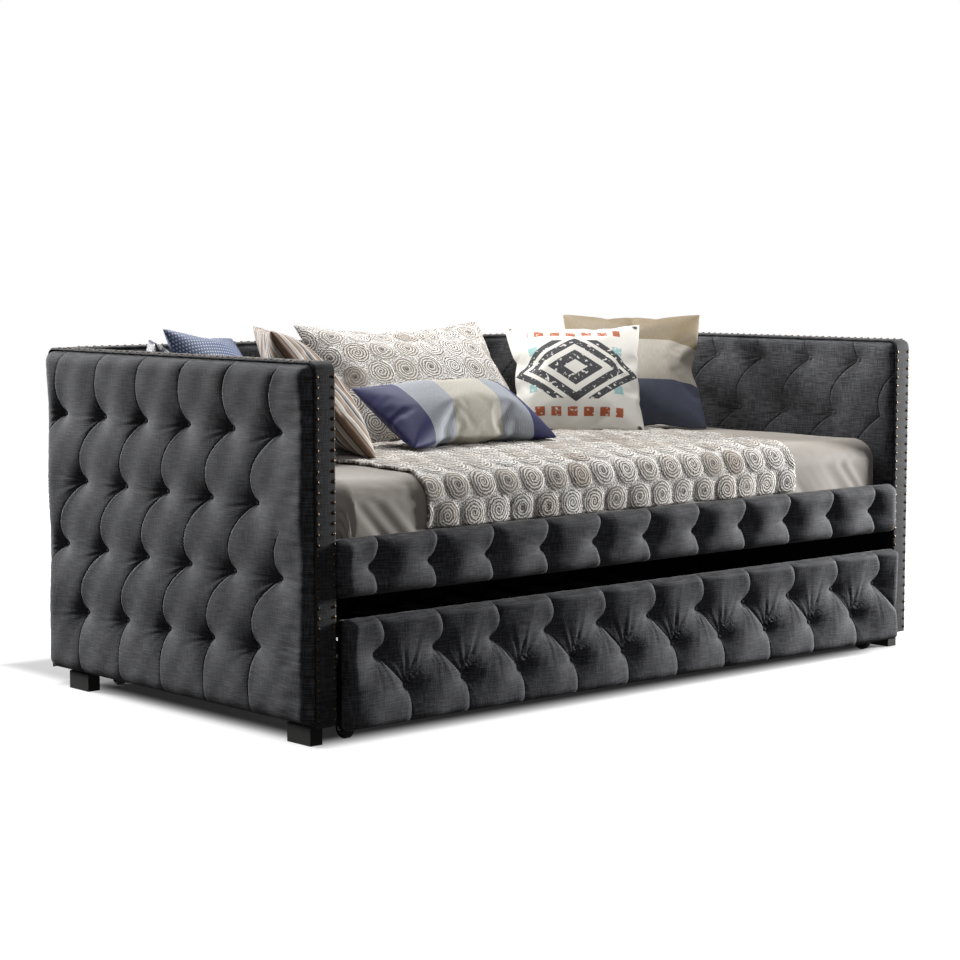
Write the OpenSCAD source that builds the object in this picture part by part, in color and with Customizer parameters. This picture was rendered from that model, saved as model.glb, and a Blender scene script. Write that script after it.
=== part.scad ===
// Upholstered trundle daybed: button-tufted arms and back, a tufted front rail,
// a roll-out trundle tray on four fixed casters, and a made-up twin mattress.
// +X runs along the bed, -Y is the open front, +Z is up, the floor is Z = 0.

/* [Bed frame] */
// Length over the arm borders
bed_len = 2064; // [1990:2:2200]
// Depth of the arms from front to back
arm_depth = 1083; // [1075:1:1120]
// Height of the arms and the back
top_h = 850; // [800:5:900]
// Height of the upholstered underside above the floor
base_h = 44; // [36:1:60]
// Thickness of the arms and the back at their borders
arm_t = 57; // [52:1:64]
// How far a tufted pad stands proud of its border
pad_proud = 12; // [6:1:16]

/* [Front rail and deck] */
// Underside of the front rail
rail_low = 326; // [315:1:340]
// Top of the front rail
rail_top = 457; // [440:1:470]
// How far the rail's pad stands in front of the arms
rail_proud = 20; // [10:1:26]
// Top face of the slats that carry the mattress
deck_h = 400; // [390:1:410]
// Number of slats in the bed deck
deck_slats = 13; // [9:1:15]

/* [Trundle] */
// Length of the trundle tray
trundle_len = 1934; // [1900:2:1936]
// Underside of the trundle's front panel
trundle_low = 30; // [28:1:45]
// Top of the trundle's front panel
trundle_top = 280; // [260:1:290]
// How far the trundle's pad stands in front of the arms
trundle_proud = 36; // [30:1:44]
// Height of the tray's plywood sides
tray_side_h = 115; // [90:1:130]
// Number of slats in the trundle tray
tray_slats = 12; // [8:1:14]
// Diameter of the caster wheels
wheel_d = 50; // [44:1:52]
// Distance from the bed's middle to a caster's middle
caster_x = 912; // [880:1:915]

/* [Tufting] */
// Button to button distance along the arms
arm_pitch = 175.5; // [165:0.5:180]
// Button to button distance along the back, the rail and the trundle
long_pitch = 174.5; // [165:0.5:176]
// Button to button distance up the outer pads
outer_row = 163; // [150:1:165]
// Button to button distance up the inner pads
inner_row = 150; // [140:1:155]
// Diameter of a covered button
button_d = 16; // [12:1:20]
// Spacing of the nail heads
nail_pitch = 23; // [20:0.5:30]
// Diameter of a nail head
nail_d = 9.5; // [8:0.5:11]

/* [Bedding] */
// Length of the mattress
mattress_len = 1900; // [1880:5:1910]
// Width of the mattress
mattress_w = 960; // [940:5:965]
// Thickness of the mattress
mattress_t = 184; // [160:1:190]

/* [Hidden] */

// Smoothness of the round pieces
ROUND = 48;
// Gap left between pieces that only lie against each other
GAP = 0.3;

fabric_grey = [0.24, 0.24, 0.25];
timber = [0.72, 0.56, 0.38];
espresso = [0.09, 0.06, 0.05];
bronze = [0.38, 0.29, 0.18];
steel = [0.6, 0.61, 0.63];
taupe = [0.62, 0.58, 0.54];
cream = [0.84, 0.81, 0.76];
navy = [0.16, 0.17, 0.38];

// Front plane of the arms, placed so that the whole bed is centred on the origin
front_y = trundle_proud - (arm_depth + trundle_proud + pad_proud) / 2;
back_y = front_y + arm_depth;
mid_y = (front_y + back_y) / 2;
half_len = bed_len / 2;
inner_x = half_len - arm_t;
border_t = 8;

// Layers of an arm or of the back, as depths from the outer face of its border
core_out = 13;
core_in = 45;
inner_skin = arm_t + pad_proud;

// Button recesses in a pad
recess_d = button_d + 6;
button_t = 6;
recess_floor = 5;

// Offset of the arm buttons towards the back, and their rows
arm_shift = 31;
outer_first = 200;
inner_first = 490;
arm_cols = 6;
long_cols = 11;

// Front rail layers
rail_board_t = 20;
rail_board_y = front_y + 8;
ledger_t = 25;
ledger_h = 32;
slat_t = 18;
slat_w = 70;
ledger_low = deck_h - slat_t - ledger_h;
back_face_y = back_y - arm_t;

// Trundle layers
trundle_board_t = 18;
trundle_board_y = front_y - 6;
side_t = 12;
tray_front_y = trundle_board_y + trundle_board_t;
tray_back_y = back_face_y - 24;
tray_low = 62;
runner_t = 20;
runner_w = 60;
tray_ledger = 20;
tray_slat_t = 13;
tray_slat_w = 80;
runner_low = tray_low + 3;
ledger_low_t = runner_low + runner_t;
tray_deck = ledger_low_t + tray_ledger + tray_slat_t;

// Casters
caster_front_y = front_y + 52;
caster_back_y = tray_back_y - 42;
wheel_w = 20;
axle_r = 3;
running_gap = 0.05;
fork_gap = 1.6;
fork_t = 2.5;
plate_t = 3;
hub_r = 9;

// Feet
foot_x = 34;
foot_y = 84;
foot_inset = 28;
foot_back_inset = 76;
foot_bolt_r = 4;

// Bedding
mattress_y = front_y + 32;
sheet_t = 1.5;
quilt_t = 8;
quilt_x = [-690, 585];
pillow_floor = deck_h + mattress_t + sheet_t + quilt_t + 2;

// Button centres as [along, up] pairs: full rows of n and rows of n - 1 set between them
function tufts(n, pitch, first, step, rows, shift, full_first) = [
    for (r = [0:rows - 1])
        let (full = (r % 2 == 0) == full_first)
        let (count = full ? n : n - 1)
        for (i = [0:count - 1])
            [shift + (i - (count - 1) / 2) * pitch, first + r * step]
];

// The part's own button layouts
arm_outer_tufts = tufts(arm_cols, arm_pitch, outer_first, outer_row, 4, mid_y + arm_shift, false);
arm_inner_tufts = tufts(arm_cols, arm_pitch, inner_first, inner_row, 3, mid_y + arm_shift, true);
back_outer_tufts = tufts(long_cols, long_pitch, outer_first, outer_row, 4, 0, false);
back_inner_tufts = tufts(long_cols, long_pitch, inner_first, inner_row, 3, 0, true);
rail_tufts = tufts(long_cols, long_pitch, 390, 1, 1, 0, true);
trundle_tufts = tufts(long_cols, long_pitch, 113, 80, 2, 0, false);

// Draws children for one side of the bed: -1 is the left arm, 1 the right arm
module on_side(side) {
    mirror([side < 0 ? 1 : 0, 0, 0])
        children();
}

// Turns a slab drawn in the XY plane, thickness +Z, to lie against a YZ wall at x
module on_wall_x(x) {
    translate([x, 0, 0])
        rotate([90, 0, 90])
            children();
}

// Turns a slab drawn in the XY plane, thickness +Z, to stand on an XZ wall at y, facing back
module on_wall_y(y) {
    translate([0, y, 0])
        rotate([90, 0, 0])
            children();
}

// A cushioned slab from point a to point b, with rounded corners r and round recesses
module tufted_slab(a, b, thick, spots, r) {
    difference() {
        linear_extrude(thick)
            rounded_rect(a, b, r);
        for (p = spots)
            translate([p[0], p[1], recess_floor])
                cylinder(h = thick, d = recess_d, $fn = ROUND);
    }
}

// A rectangle between two corner points with round corners
module rounded_rect(a, b, r) {
    union() {
        translate([a[0] + r, a[1]])
            square([b[0] - a[0] - 2 * r, b[1] - a[1]]);
        translate([a[0], a[1] + r])
            square([b[0] - a[0], b[1] - a[1] - 2 * r]);
        for (x = [a[0] + r, b[0] - r])
            for (y = [a[1] + r, b[1] - r])
                translate([x, y])
                    circle(r = r, $fn = ROUND);
    }
}

// Buttons that sit on the floors of a slab's recesses
module slab_buttons(spots) {
    for (p = spots)
        translate([p[0], p[1], recess_floor])
            cylinder(h = button_t, d = button_d, $fn = ROUND);
}

// ---- Arms ----

module arm_core(side) {
    color(timber)
        on_side(side)
            difference() {
                union() {
                    translate([half_len - core_in, front_y + border_t, base_h])
                        cube([core_in - core_out, arm_depth - 2 * border_t, top_h - border_t - base_h]);
                    translate([inner_x, front_y + border_t, base_h])
                        cube([arm_t - core_in + 1, arm_depth - 2 * border_t, deck_h - base_h]);
                }
                for (y = foot_centres())
                    translate([foot_middle_x(), y, base_h - 1])
                        cylinder(h = 36, r = foot_bolt_r + running_gap, $fn = ROUND);
            }
}

function foot_centres() = [
    front_y + foot_inset + foot_y / 2,
    back_y - foot_back_inset - foot_y / 2
];

function foot_middle_x() = half_len - 3 - foot_x / 2;

module arm_outer_pad(side) {
    color(fabric_grey)
        on_side(side)
            on_wall_x(half_len - core_out)
                tufted_slab([front_y + border_t, base_h], [back_y - border_t, top_h - border_t],
                    core_out + pad_proud, arm_outer_tufts, 10);
}

module arm_inner_pad(side) {
    color(fabric_grey)
        on_side(side)
            difference() {
                translate([half_len - core_in, 0, 0])
                    mirror([1, 0, 0])
                        on_wall_x(0)
                            tufted_slab([front_y + border_t, deck_h],
                                [back_face_y - pad_proud - GAP, top_h - border_t],
                                inner_skin - core_in, arm_inner_tufts, 6);
                translate([inner_x - pad_proud - 1, front_y, deck_h - 1])
                    cube([pad_proud + 2, 34, rail_top - deck_h + 2]);
            }
}

module arm_border(side) {
    color(fabric_grey)
        on_side(side)
            on_wall_x(inner_x)
                linear_extrude(arm_t)
                    difference() {
                        arm_outline(16);
                        translate([front_y + border_t, base_h - 1])
                            square([arm_depth - 2 * border_t, top_h - border_t - base_h + 1]);
                    }
}

// Side view of an arm, with its two top corners rounded to radius r
module arm_outline(r) {
    translate([front_y, base_h])
        square([arm_depth, top_h - base_h - r]);
    translate([front_y + r, top_h - r - 1])
        square([arm_depth - 2 * r, r + 1]);
    for (y = [front_y + r, back_y - r])
        translate([y, top_h - r])
            circle(r = r, $fn = ROUND);
}

module arm_nails(side) {
    rows = floor((top_h - base_h - 36) / nail_pitch);
    cols = floor((arm_depth - 50) / nail_pitch);
    color(bronze)
        on_side(side) {
            for (x = [inner_x + 6, half_len - 6])
                for (i = [0:rows])
                    translate([x, front_y, base_h + 14 + i * nail_pitch])
                        rotate([90, 0, 0])
                            cylinder(h = 2, d = nail_d, $fn = 24);
            for (i = [0:cols])
                translate([half_len - 6, front_y + 24 + i * nail_pitch, top_h])
                    cylinder(h = 2, d = nail_d, $fn = 24);
        }
}

module arm_buttons(side) {
    color(fabric_grey)
        on_side(side) {
            on_wall_x(half_len - core_out)
                slab_buttons(arm_outer_tufts);
            translate([half_len - core_in, 0, 0])
                mirror([1, 0, 0])
                    on_wall_x(0)
                        slab_buttons(arm_inner_tufts);
        }
}

// ---- Back, which stands between the arms ----

module back_core() {
    color(timber) {
        translate([-inner_x, back_y - core_in, base_h])
            cube([2 * inner_x, core_in - core_out, top_h - border_t - base_h]);
        translate([-inner_x, back_face_y, base_h])
            cube([2 * inner_x, arm_t - core_in, deck_h - base_h]);
    }
}

module back_outer_pad() {
    color(fabric_grey)
        translate([0, back_y - core_out, 0])
            mirror([0, 1, 0])
                on_wall_y(0)
                    tufted_slab([-inner_x, base_h], [inner_x, top_h - border_t],
                        core_out + pad_proud, back_outer_tufts, 6);
}

module back_inner_pad() {
    color(fabric_grey)
        on_wall_y(back_y - core_in)
            tufted_slab([pad_proud - inner_x, deck_h], [inner_x - pad_proud, top_h - border_t],
                inner_skin - core_in, back_inner_tufts, 6);
}

module back_border() {
    color(fabric_grey)
        translate([-inner_x, back_face_y, top_h - border_t])
            cube([2 * inner_x, arm_t, border_t]);
}

module back_nails() {
    half_count = floor((inner_x - 12) / nail_pitch);
    color(bronze)
        for (i = [-half_count:half_count])
            translate([i * nail_pitch, back_y - 6, top_h])
                cylinder(h = 2, d = nail_d, $fn = 24);
}

module back_buttons() {
    color(fabric_grey) {
        translate([0, back_y - core_out, 0])
            mirror([0, 1, 0])
                on_wall_y(0)
                    slab_buttons(back_outer_tufts);
        on_wall_y(back_y - core_in)
            slab_buttons(back_inner_tufts);
    }
}

// ---- Feet ----

module foot(side, y) {
    color(espresso)
        on_side(side)
            difference() {
                translate([foot_middle_x() - foot_x / 2, y - foot_y / 2, 0])
                    cube([foot_x, foot_y, base_h]);
                translate([foot_middle_x(), y, 14])
                    cylinder(h = base_h, r = foot_bolt_r + running_gap, $fn = ROUND);
            }
}

module foot_bolts() {
    color(steel)
        for (side = [-1, 1])
            for (y = foot_centres())
                on_side(side)
                    translate([foot_middle_x(), y, 14.2])
                        cylinder(h = base_h + 20, r = foot_bolt_r, $fn = ROUND);
}

// ---- Front rail and deck ----

module rail_board() {
    color(timber)
        translate([-inner_x, rail_board_y, rail_low + 3])
            cube([2 * inner_x, rail_board_t, rail_top - rail_low - 6]);
}

module rail_pad() {
    color(fabric_grey)
        on_wall_y(rail_board_y)
            tufted_slab([2 - inner_x, rail_low], [inner_x - 2, rail_top],
                rail_proud + 8, rail_tufts, 8);
}

module rail_buttons() {
    color(fabric_grey)
        on_wall_y(rail_board_y)
            slab_buttons(rail_tufts);
}

module front_ledger() {
    color(timber)
        translate([36 - inner_x, rail_board_y + rail_board_t, ledger_low])
            cube([2 * inner_x - 72, ledger_t, ledger_h]);
}

module rear_ledger() {
    color(timber)
        translate([36 - inner_x, back_face_y - ledger_t, ledger_low])
            cube([2 * inner_x - 72, ledger_t, ledger_h]);
}

module centre_beam() {
    color(timber)
        translate([8 - inner_x, mid_y - 20, ledger_low])
            cube([2 * inner_x - 16, 40, ledger_h]);
}

module beam_hangers() {
    color(steel)
        for (side = [-1, 1])
            on_side(side)
                translate([inner_x - 30, mid_y - 22, ledger_low - 2])
                    difference() {
                        cube([30, 44, ledger_h]);
                        translate([-1, 2, 2])
                            cube([29, 40, ledger_h]);
                    }
}

module deck_slats_group() {
    step = (2 * inner_x - 150) / (deck_slats - 1);
    first_x = 75 - inner_x - slat_w / 2;
    near_y = rail_board_y + rail_board_t + 1;
    color(timber)
        for (i = [0:deck_slats - 1])
            translate([first_x + i * step, near_y, deck_h - slat_t])
                cube([slat_w, back_face_y - near_y - 1, slat_t]);
}

// Steel angles that join the rail to the arms
module corner_brackets() {
    color(steel)
        for (side = [-1, 1])
            on_side(side)
                translate([inner_x - 34, rail_board_y + rail_board_t, ledger_low])
                    difference() {
                        cube([34, 60, 30]);
                        translate([-1, 3, -1])
                            cube([32, 58, 32]);
                    }
}

// ---- Bedding ----

module mattress() {
    color("white")
        translate([0, 0, deck_h])
            linear_extrude(mattress_t)
                mattress_plan(0);
}

// Plan of the mattress, grown by d
module mattress_plan(d) {
    rounded_rect([-mattress_len / 2 - d, mattress_y - d], [mattress_len / 2 + d, mattress_y + mattress_w + d],
        60 + d);
}

module fitted_sheet() {
    inside = 0.2;
    color(taupe)
        translate([0, 0, deck_h + 4])
            difference() {
                linear_extrude(mattress_t - 4 + inside + sheet_t)
                    mattress_plan(inside + sheet_t);
                translate([0, 0, -1])
                    linear_extrude(mattress_t - 3 + inside)
                        mattress_plan(inside);
            }
}

// The quilt hangs a little way down the front and the back of the mattress
module quilt() {
    inside = sheet_t + 0.5;
    front = mattress_y - inside;
    rear = mattress_y + mattress_w + inside;
    top = deck_h + mattress_t + inside;
    color(cream)
        on_wall_x(quilt_x[0])
            linear_extrude(quilt_x[1] - quilt_x[0])
                difference() {
                    rounded_rect([front - quilt_t, rail_top + 1], [rear + quilt_t, top + quilt_t], quilt_t);
                    translate([front, 0])
                        square([rear - front, top]);
                }
}

// A throw pillow as a slab that stands on the quilt with the middle of its lower edge at p.
// It is turned about Z, leaned back, and rolled in its own plane
module pillow(p, turn, lean, size, thick, roll) {
    lift = thick / 2 * sin(lean) + size[0] / 2 * sin(roll);
    translate([p[0], p[1], pillow_floor + lift])
        rotate([-lean, 0, turn])
            rotate([0, roll, 0])
                translate([0, thick / 2, 0])
                    rotate([90, 0, 0])
                        linear_extrude(thick)
                            rounded_rect([-size[0] / 2, 0], [size[0] / 2, size[1]], 30);
}

module rosette_pillow() {
    color(cream)
        pillow([-111, 70], 0, 40, [618, 385], 50, 0);
}

module lumbar_pillow() {
    color(navy)
        pillow([-213, -186], 0, 61, [466, 262], 56, 0);
}

module canvas_pillow() {
    color("ivory")
        pillow([313, 42], -42, 43, [375, 395], 50, 0);
}

module banded_pillow() {
    color("tan")
        pillow([602, 92], -42, 39, [395, 400], 50, 0);
}

module striped_pillow() {
    color("sienna")
        pillow([-562, -59], 60, 39, [390, 400], 50, 0);
}

module blue_pillow() {
    color("steelblue")
        pillow([-638, 174], 20, 33, [290, 345], 46, 8);
}

module navy_pillow() {
    color(navy)
        pillow([-775, 253], 60, 20, [240, 288], 40, 0);
}

// ---- Trundle ----

module trundle_board() {
    color(timber)
        translate([4 - trundle_len / 2, trundle_board_y, trundle_low + 4])
            cube([trundle_len - 8, trundle_board_t, trundle_top - trundle_low - 8]);
}

module trundle_pad() {
    color(fabric_grey)
        on_wall_y(trundle_board_y)
            tufted_slab([-trundle_len / 2, trundle_low], [trundle_len / 2, trundle_top],
                trundle_proud - 6, trundle_tufts, 14);
}

module trundle_buttons() {
    color(fabric_grey)
        on_wall_y(trundle_board_y)
            slab_buttons(trundle_tufts);
}

module trundle_side(side) {
    color(timber)
        on_side(side)
            translate([trundle_len / 2 - side_t - 4, tray_front_y, tray_low])
                cube([side_t, tray_back_y - tray_front_y, tray_side_h]);
}

module trundle_back_rail() {
    color(timber)
        translate([4 - trundle_len / 2, tray_back_y, tray_low])
            cube([trundle_len - 8, trundle_board_t, tray_side_h]);
}

module trundle_ledgers() {
    inside = trundle_len / 2 - side_t - 5;
    color(timber)
        for (y = [tray_front_y, tray_back_y - tray_ledger])
            translate([-inside, y, ledger_low_t])
                cube([2 * inside, tray_ledger, tray_ledger]);
}

module runner(side) {
    color(timber)
        on_side(side)
            translate([caster_x - runner_w / 2, tray_front_y, runner_low])
                cube([runner_w, tray_back_y - tray_front_y, runner_t]);
}

module trundle_slats() {
    inside = trundle_len / 2 - side_t - 60;
    step = 2 * inside / (tray_slats - 1);
    color(timber)
        for (i = [0:tray_slats - 1])
            translate([i * step - inside - tray_slat_w / 2, tray_front_y + 1, tray_deck - tray_slat_t])
                cube([tray_slat_w, tray_back_y - tray_front_y - 2, tray_slat_t]);
}

function caster_spots() = [
    for (side = [-1, 1])
        for (y = [caster_front_y, caster_back_y])
            [side * caster_x, y]
];

// A fixed caster's plate and its two cheeks, with the axle holes
module caster_fork() {
    cheek_x = wheel_w / 2 + fork_gap;
    translate([-30, -24, runner_low - plate_t])
        cube([60, 48, plate_t]);
    for (x = [-cheek_x - fork_t, cheek_x])
        on_wall_x(x)
            linear_extrude(fork_t)
                difference() {
                    union() {
                        translate([0, wheel_d / 2])
                            circle(r = hub_r, $fn = ROUND);
                        polygon([[-hub_r, wheel_d / 2], [hub_r, wheel_d / 2],
                            [18, runner_low - plate_t], [-18, runner_low - plate_t]]);
                    }
                    translate([0, wheel_d / 2])
                        circle(r = axle_r + running_gap, $fn = ROUND);
                }
}

module caster_forks() {
    color("dimgray")
        for (p = caster_spots())
            translate([p[0], p[1], 0])
                caster_fork();
}

module caster_axles() {
    reach = wheel_w / 2 + fork_gap + fork_t + 3;
    color(steel)
        for (p = caster_spots())
            translate([p[0] - reach, p[1], wheel_d / 2])
                rotate([0, 90, 0]) {
                    cylinder(h = 2 * reach, r = axle_r, $fn = ROUND);
                    cylinder(h = 2.8, r = 5, $fn = ROUND);
                    translate([0, 0, 2 * reach - 2.8])
                        cylinder(h = 2.8, r = 5, $fn = ROUND);
                }
}

module wheel(side, y) {
    bore = axle_r + 0.06;
    edge = 4;
    r = wheel_d / 2;
    h = wheel_w / 2;
    color([0.05, 0.05, 0.05])
        translate([side * caster_x, y, r])
            rotate([0, 90, 0])
                rotate_extrude($fn = 64)
                    polygon([[bore, -h - 1], [hub_r - 2, -h - 1], [hub_r - 2, -h + 3], [r - 6, -h + 3],
                        [r - edge, -h], [r, -h + edge], [r, h - edge], [r - edge, h],
                        [r - 6, h - 3], [hub_r - 2, h - 3], [hub_r - 2, h + 1], [bore, h + 1]]);
}

arm_core(-1);  // left_arm_core
arm_core(1);  // right_arm_core
back_core();
arm_outer_pad(-1);  // left_arm_outer_pad
arm_outer_pad(1);  // right_arm_outer_pad
arm_inner_pad(-1);  // left_arm_inner_pad
arm_inner_pad(1);  // right_arm_inner_pad
back_outer_pad();
back_inner_pad();
arm_border(-1);  // left_arm_border
arm_border(1);  // right_arm_border
back_border();
arm_nails(-1);  // left_arm_nails
arm_nails(1);  // right_arm_nails
back_nails();
arm_buttons(-1);  // left_arm_buttons
arm_buttons(1);  // right_arm_buttons
back_buttons();
foot(-1, foot_centres()[0]);  // front_left_foot
foot(1, foot_centres()[0]);  // front_right_foot
foot(-1, foot_centres()[1]);  // rear_left_foot
foot(1, foot_centres()[1]);  // rear_right_foot
foot_bolts();
rail_board();
rail_pad();
rail_buttons();
front_ledger();
rear_ledger();
centre_beam();
beam_hangers();
deck_slats_group();  // deck_slats
corner_brackets();
mattress();
fitted_sheet();
quilt();
rosette_pillow();
lumbar_pillow();
canvas_pillow();
banded_pillow();
striped_pillow();
blue_pillow();
navy_pillow();
trundle_board();
trundle_pad();
trundle_buttons();
trundle_side(-1);  // trundle_left_side
trundle_side(1);  // trundle_right_side
trundle_back_rail();
trundle_ledgers();
runner(-1);  // left_runner
runner(1);  // right_runner
trundle_slats();
caster_forks();
caster_axles();
wheel(-1, caster_front_y);  // front_left_wheel
wheel(1, caster_front_y);  // front_right_wheel
wheel(-1, caster_back_y);  // rear_left_wheel
wheel(1, caster_back_y);  // rear_right_wheel
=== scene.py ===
"""Looks of a tufted daybed with a roll-out trundle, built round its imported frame."""

import logging
import math
from dataclasses import dataclass, field
from enum import Enum
from typing import Sequence

import bpy
import numpy as np
from mathutils import Matrix, Vector


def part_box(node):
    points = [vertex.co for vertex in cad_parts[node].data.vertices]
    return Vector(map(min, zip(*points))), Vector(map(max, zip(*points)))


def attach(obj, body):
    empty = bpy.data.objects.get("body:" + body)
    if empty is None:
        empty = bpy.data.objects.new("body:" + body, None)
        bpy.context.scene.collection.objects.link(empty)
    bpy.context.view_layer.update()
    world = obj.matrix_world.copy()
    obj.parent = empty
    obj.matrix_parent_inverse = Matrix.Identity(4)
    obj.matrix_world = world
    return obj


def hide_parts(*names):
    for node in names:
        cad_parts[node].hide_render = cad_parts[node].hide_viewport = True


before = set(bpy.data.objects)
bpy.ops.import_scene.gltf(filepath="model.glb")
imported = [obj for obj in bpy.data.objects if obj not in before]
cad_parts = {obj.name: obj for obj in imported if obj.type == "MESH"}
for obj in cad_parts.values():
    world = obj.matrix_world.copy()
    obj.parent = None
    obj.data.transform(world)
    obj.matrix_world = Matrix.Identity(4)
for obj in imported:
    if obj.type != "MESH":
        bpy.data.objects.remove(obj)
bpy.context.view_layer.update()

log = logging.getLogger("daybed")

Array = np.ndarray
Colour = tuple[float, float, float]


# ---------------------------------------------------------------------------
# Shader maths
# ---------------------------------------------------------------------------


class Sock:
    """An output socket in a material's tree; arithmetic on it adds Math nodes."""

    def __init__(self, shade: "Shade", out: bpy.types.NodeSocket) -> None:
        """Keeps the tree's builder and the socket."""
        self.shade = shade
        self.out = out

    def math(self, operation: str, *others: "Sock | float") -> "Sock":
        """Returns the result of a Math node on this value and the others."""
        return self.shade.node("ShaderNodeMath", {"operation": operation}, (self, *others))

    def __add__(self, other: "Sock | float") -> "Sock":
        """Returns self + other."""
        return self.math("ADD", other)

    __radd__ = __add__

    def __sub__(self, other: "Sock | float") -> "Sock":
        """Returns self - other."""
        return self.math("SUBTRACT", other)

    def __rsub__(self, other: float) -> "Sock":
        """Returns other - self."""
        return self.shade.node("ShaderNodeMath", {"operation": "SUBTRACT"}, (other, self))

    def __mul__(self, other: "Sock | float") -> "Sock":
        """Returns self * other."""
        return self.math("MULTIPLY", other)

    __rmul__ = __mul__

    def __truediv__(self, other: "Sock | float") -> "Sock":
        """Returns self / other."""
        return self.math("DIVIDE", other)

    def __pow__(self, other: float) -> "Sock":
        """Returns self to the power other."""
        return self.math("POWER", other)

    def __gt__(self, other: "Sock | float") -> "Sock":
        """Returns 1 where self is greater than other, else 0."""
        return self.math("GREATER_THAN", other)

    def __lt__(self, other: "Sock | float") -> "Sock":
        """Returns 1 where self is less than other, else 0."""
        return self.math("LESS_THAN", other)

    def sin(self) -> "Sock":
        """Returns the sine."""
        return self.math("SINE")

    def abs(self) -> "Sock":
        """Returns the absolute value."""
        return self.math("ABSOLUTE")

    def floor(self) -> "Sock":
        """Returns the value rounded down."""
        return self.math("FLOOR")

    def root(self) -> "Sock":
        """Returns the square root."""
        return self.math("SQRT")

    def step(self, low: float, high: float) -> "Sock":
        """Returns a smooth rise from 0 at low to 1 at high."""
        settings = {"interpolation_type": "SMOOTHSTEP"}
        return self.shade.node("ShaderNodeMapRange", settings, {0: self, 1: low, 2: high})


class Shade:
    """Builds one material's node tree."""

    def __init__(self, name: str) -> None:
        """Makes an empty material with a Principled shader."""
        self.material = bpy.data.materials.new(name)
        self.material.use_nodes = True
        self.tree = self.material.node_tree
        self.shader = self.tree.nodes["Principled BSDF"]

    def node(self, kind: str, settings: dict, inputs: "tuple | dict" = (), output: int = 0) -> Sock:
        """Adds a node.

        Args:
            kind: the node's type name.
            settings: attributes to set first; "stops" fills a colour ramp.
            inputs: values or sockets, in order or by name or number.
            output: which output to hand back.

        Returns:
            The chosen output as a Sock.
        """
        made = self.tree.nodes.new(kind)
        for key, value in settings.items():
            if key == "stops":
                self._stops(made.color_ramp, value)
            else:
                setattr(made, key, value)
        pairs = inputs.items() if isinstance(inputs, dict) else enumerate(inputs)
        for key, value in pairs:
            if isinstance(value, Sock):
                self.tree.links.new(value.out, made.inputs[key])
            else:
                made.inputs[key].default_value = value
        return Sock(self, made.outputs[output])

    @staticmethod
    def _stops(ramp: bpy.types.ColorRamp, stops: Sequence[tuple[float, Colour]]) -> None:
        """Fills a colour ramp with (position, colour) stops."""
        while len(ramp.elements) < len(stops):
            ramp.elements.new(1.0)
        for element, (place, colour) in zip(ramp.elements, stops):
            element.position = place
            element.color = (*colour, 1.0)

    def uv(self) -> Sock:
        """Returns the piece's own UV coordinates."""
        return self.node("ShaderNodeTexCoord", {}, output=2)

    def place(self) -> Sock:
        """Returns Object coordinates, in metres."""
        return self.node("ShaderNodeTexCoord", {}, output=3)

    def split(self, vector: Sock) -> tuple[Sock, Sock, Sock]:
        """Returns a vector's three parts."""
        made = self.tree.nodes.new("ShaderNodeSeparateXYZ")
        self.tree.links.new(vector.out, made.inputs[0])
        return tuple(Sock(self, out) for out in made.outputs)

    def join(self, x: "Sock | float", y: "Sock | float", z: "Sock | float" = 0.0) -> Sock:
        """Returns a vector made of three values."""
        return self.node("ShaderNodeCombineXYZ", {}, (x, y, z))

    def noise(self, vector: Sock, scale: tuple[float, float, float], detail: float = 2.0) -> Sock:
        """Returns noise from 0 to 1.

        Args:
            vector: the coordinates, in metres.
            scale: features per metre along each axis.
            detail: octaves.

        Returns:
            The noise value.
        """
        scaled = self.node("ShaderNodeMapping", {}, {0: vector, 3: scale})
        return self.node("ShaderNodeTexNoise", {}, {0: scaled, 2: 1.0, 3: detail})

    def chance(self, vector: Sock) -> Sock:
        """Returns one fixed random number from 0 to 1 for each value of vector."""
        return self.node("ShaderNodeTexWhiteNoise", {"noise_dimensions": "3D"}, {0: vector})

    def mix(self, share: "Sock | float", a: "Sock | Colour", b: "Sock | Colour") -> Sock:
        """Returns colour a where share is 0 and colour b where it is 1."""
        four = [c if isinstance(c, Sock) else (*c, 1.0) for c in (a, b)]
        settings = {"data_type": "RGBA"}
        return self.node("ShaderNodeMix", settings, {0: share, 6: four[0], 7: four[1]}, 2)

    def ramp(self, value: Sock, stops: Sequence[tuple[float, Colour]], hard: bool = False) -> Sock:
        """Returns the colour at value on a ramp of (position, colour) stops."""
        made = self.node("ShaderNodeValToRGB", {"stops": stops}, (value,))
        made.out.node.color_ramp.interpolation = "CONSTANT" if hard else "LINEAR"
        return made

    def wire(self, name: str, value: Sock) -> None:
        """Links a varying value or colour to one of the shader's inputs."""
        self.tree.links.new(value.out, self.shader.inputs[name])

    def fixed(self, **values: float) -> None:
        """Sets constants on the shader's own sockets; underscores stand for spaces."""
        for key, value in values.items():
            self.shader.inputs[key.replace("_", " ")].default_value = value

    def bump(self, height: Sock, strength: float, metres: float) -> None:
        """Feeds a Bump node to the shader's Normal.

        Args:
            height: relief from 0 to 1.
            strength: how much of it shows.
            metres: the relief's full depth.
        """
        settings = {}
        inputs = {"Height": height, "Strength": strength, "Distance": metres}
        self.wire("Normal", self.node("ShaderNodeBump", settings, inputs))


class Lay(Enum):
    """How a cloth's pattern is laid on a piece."""

    FLAT_CUT = "uv"
    AS_IT_STANDS = "object"


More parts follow.
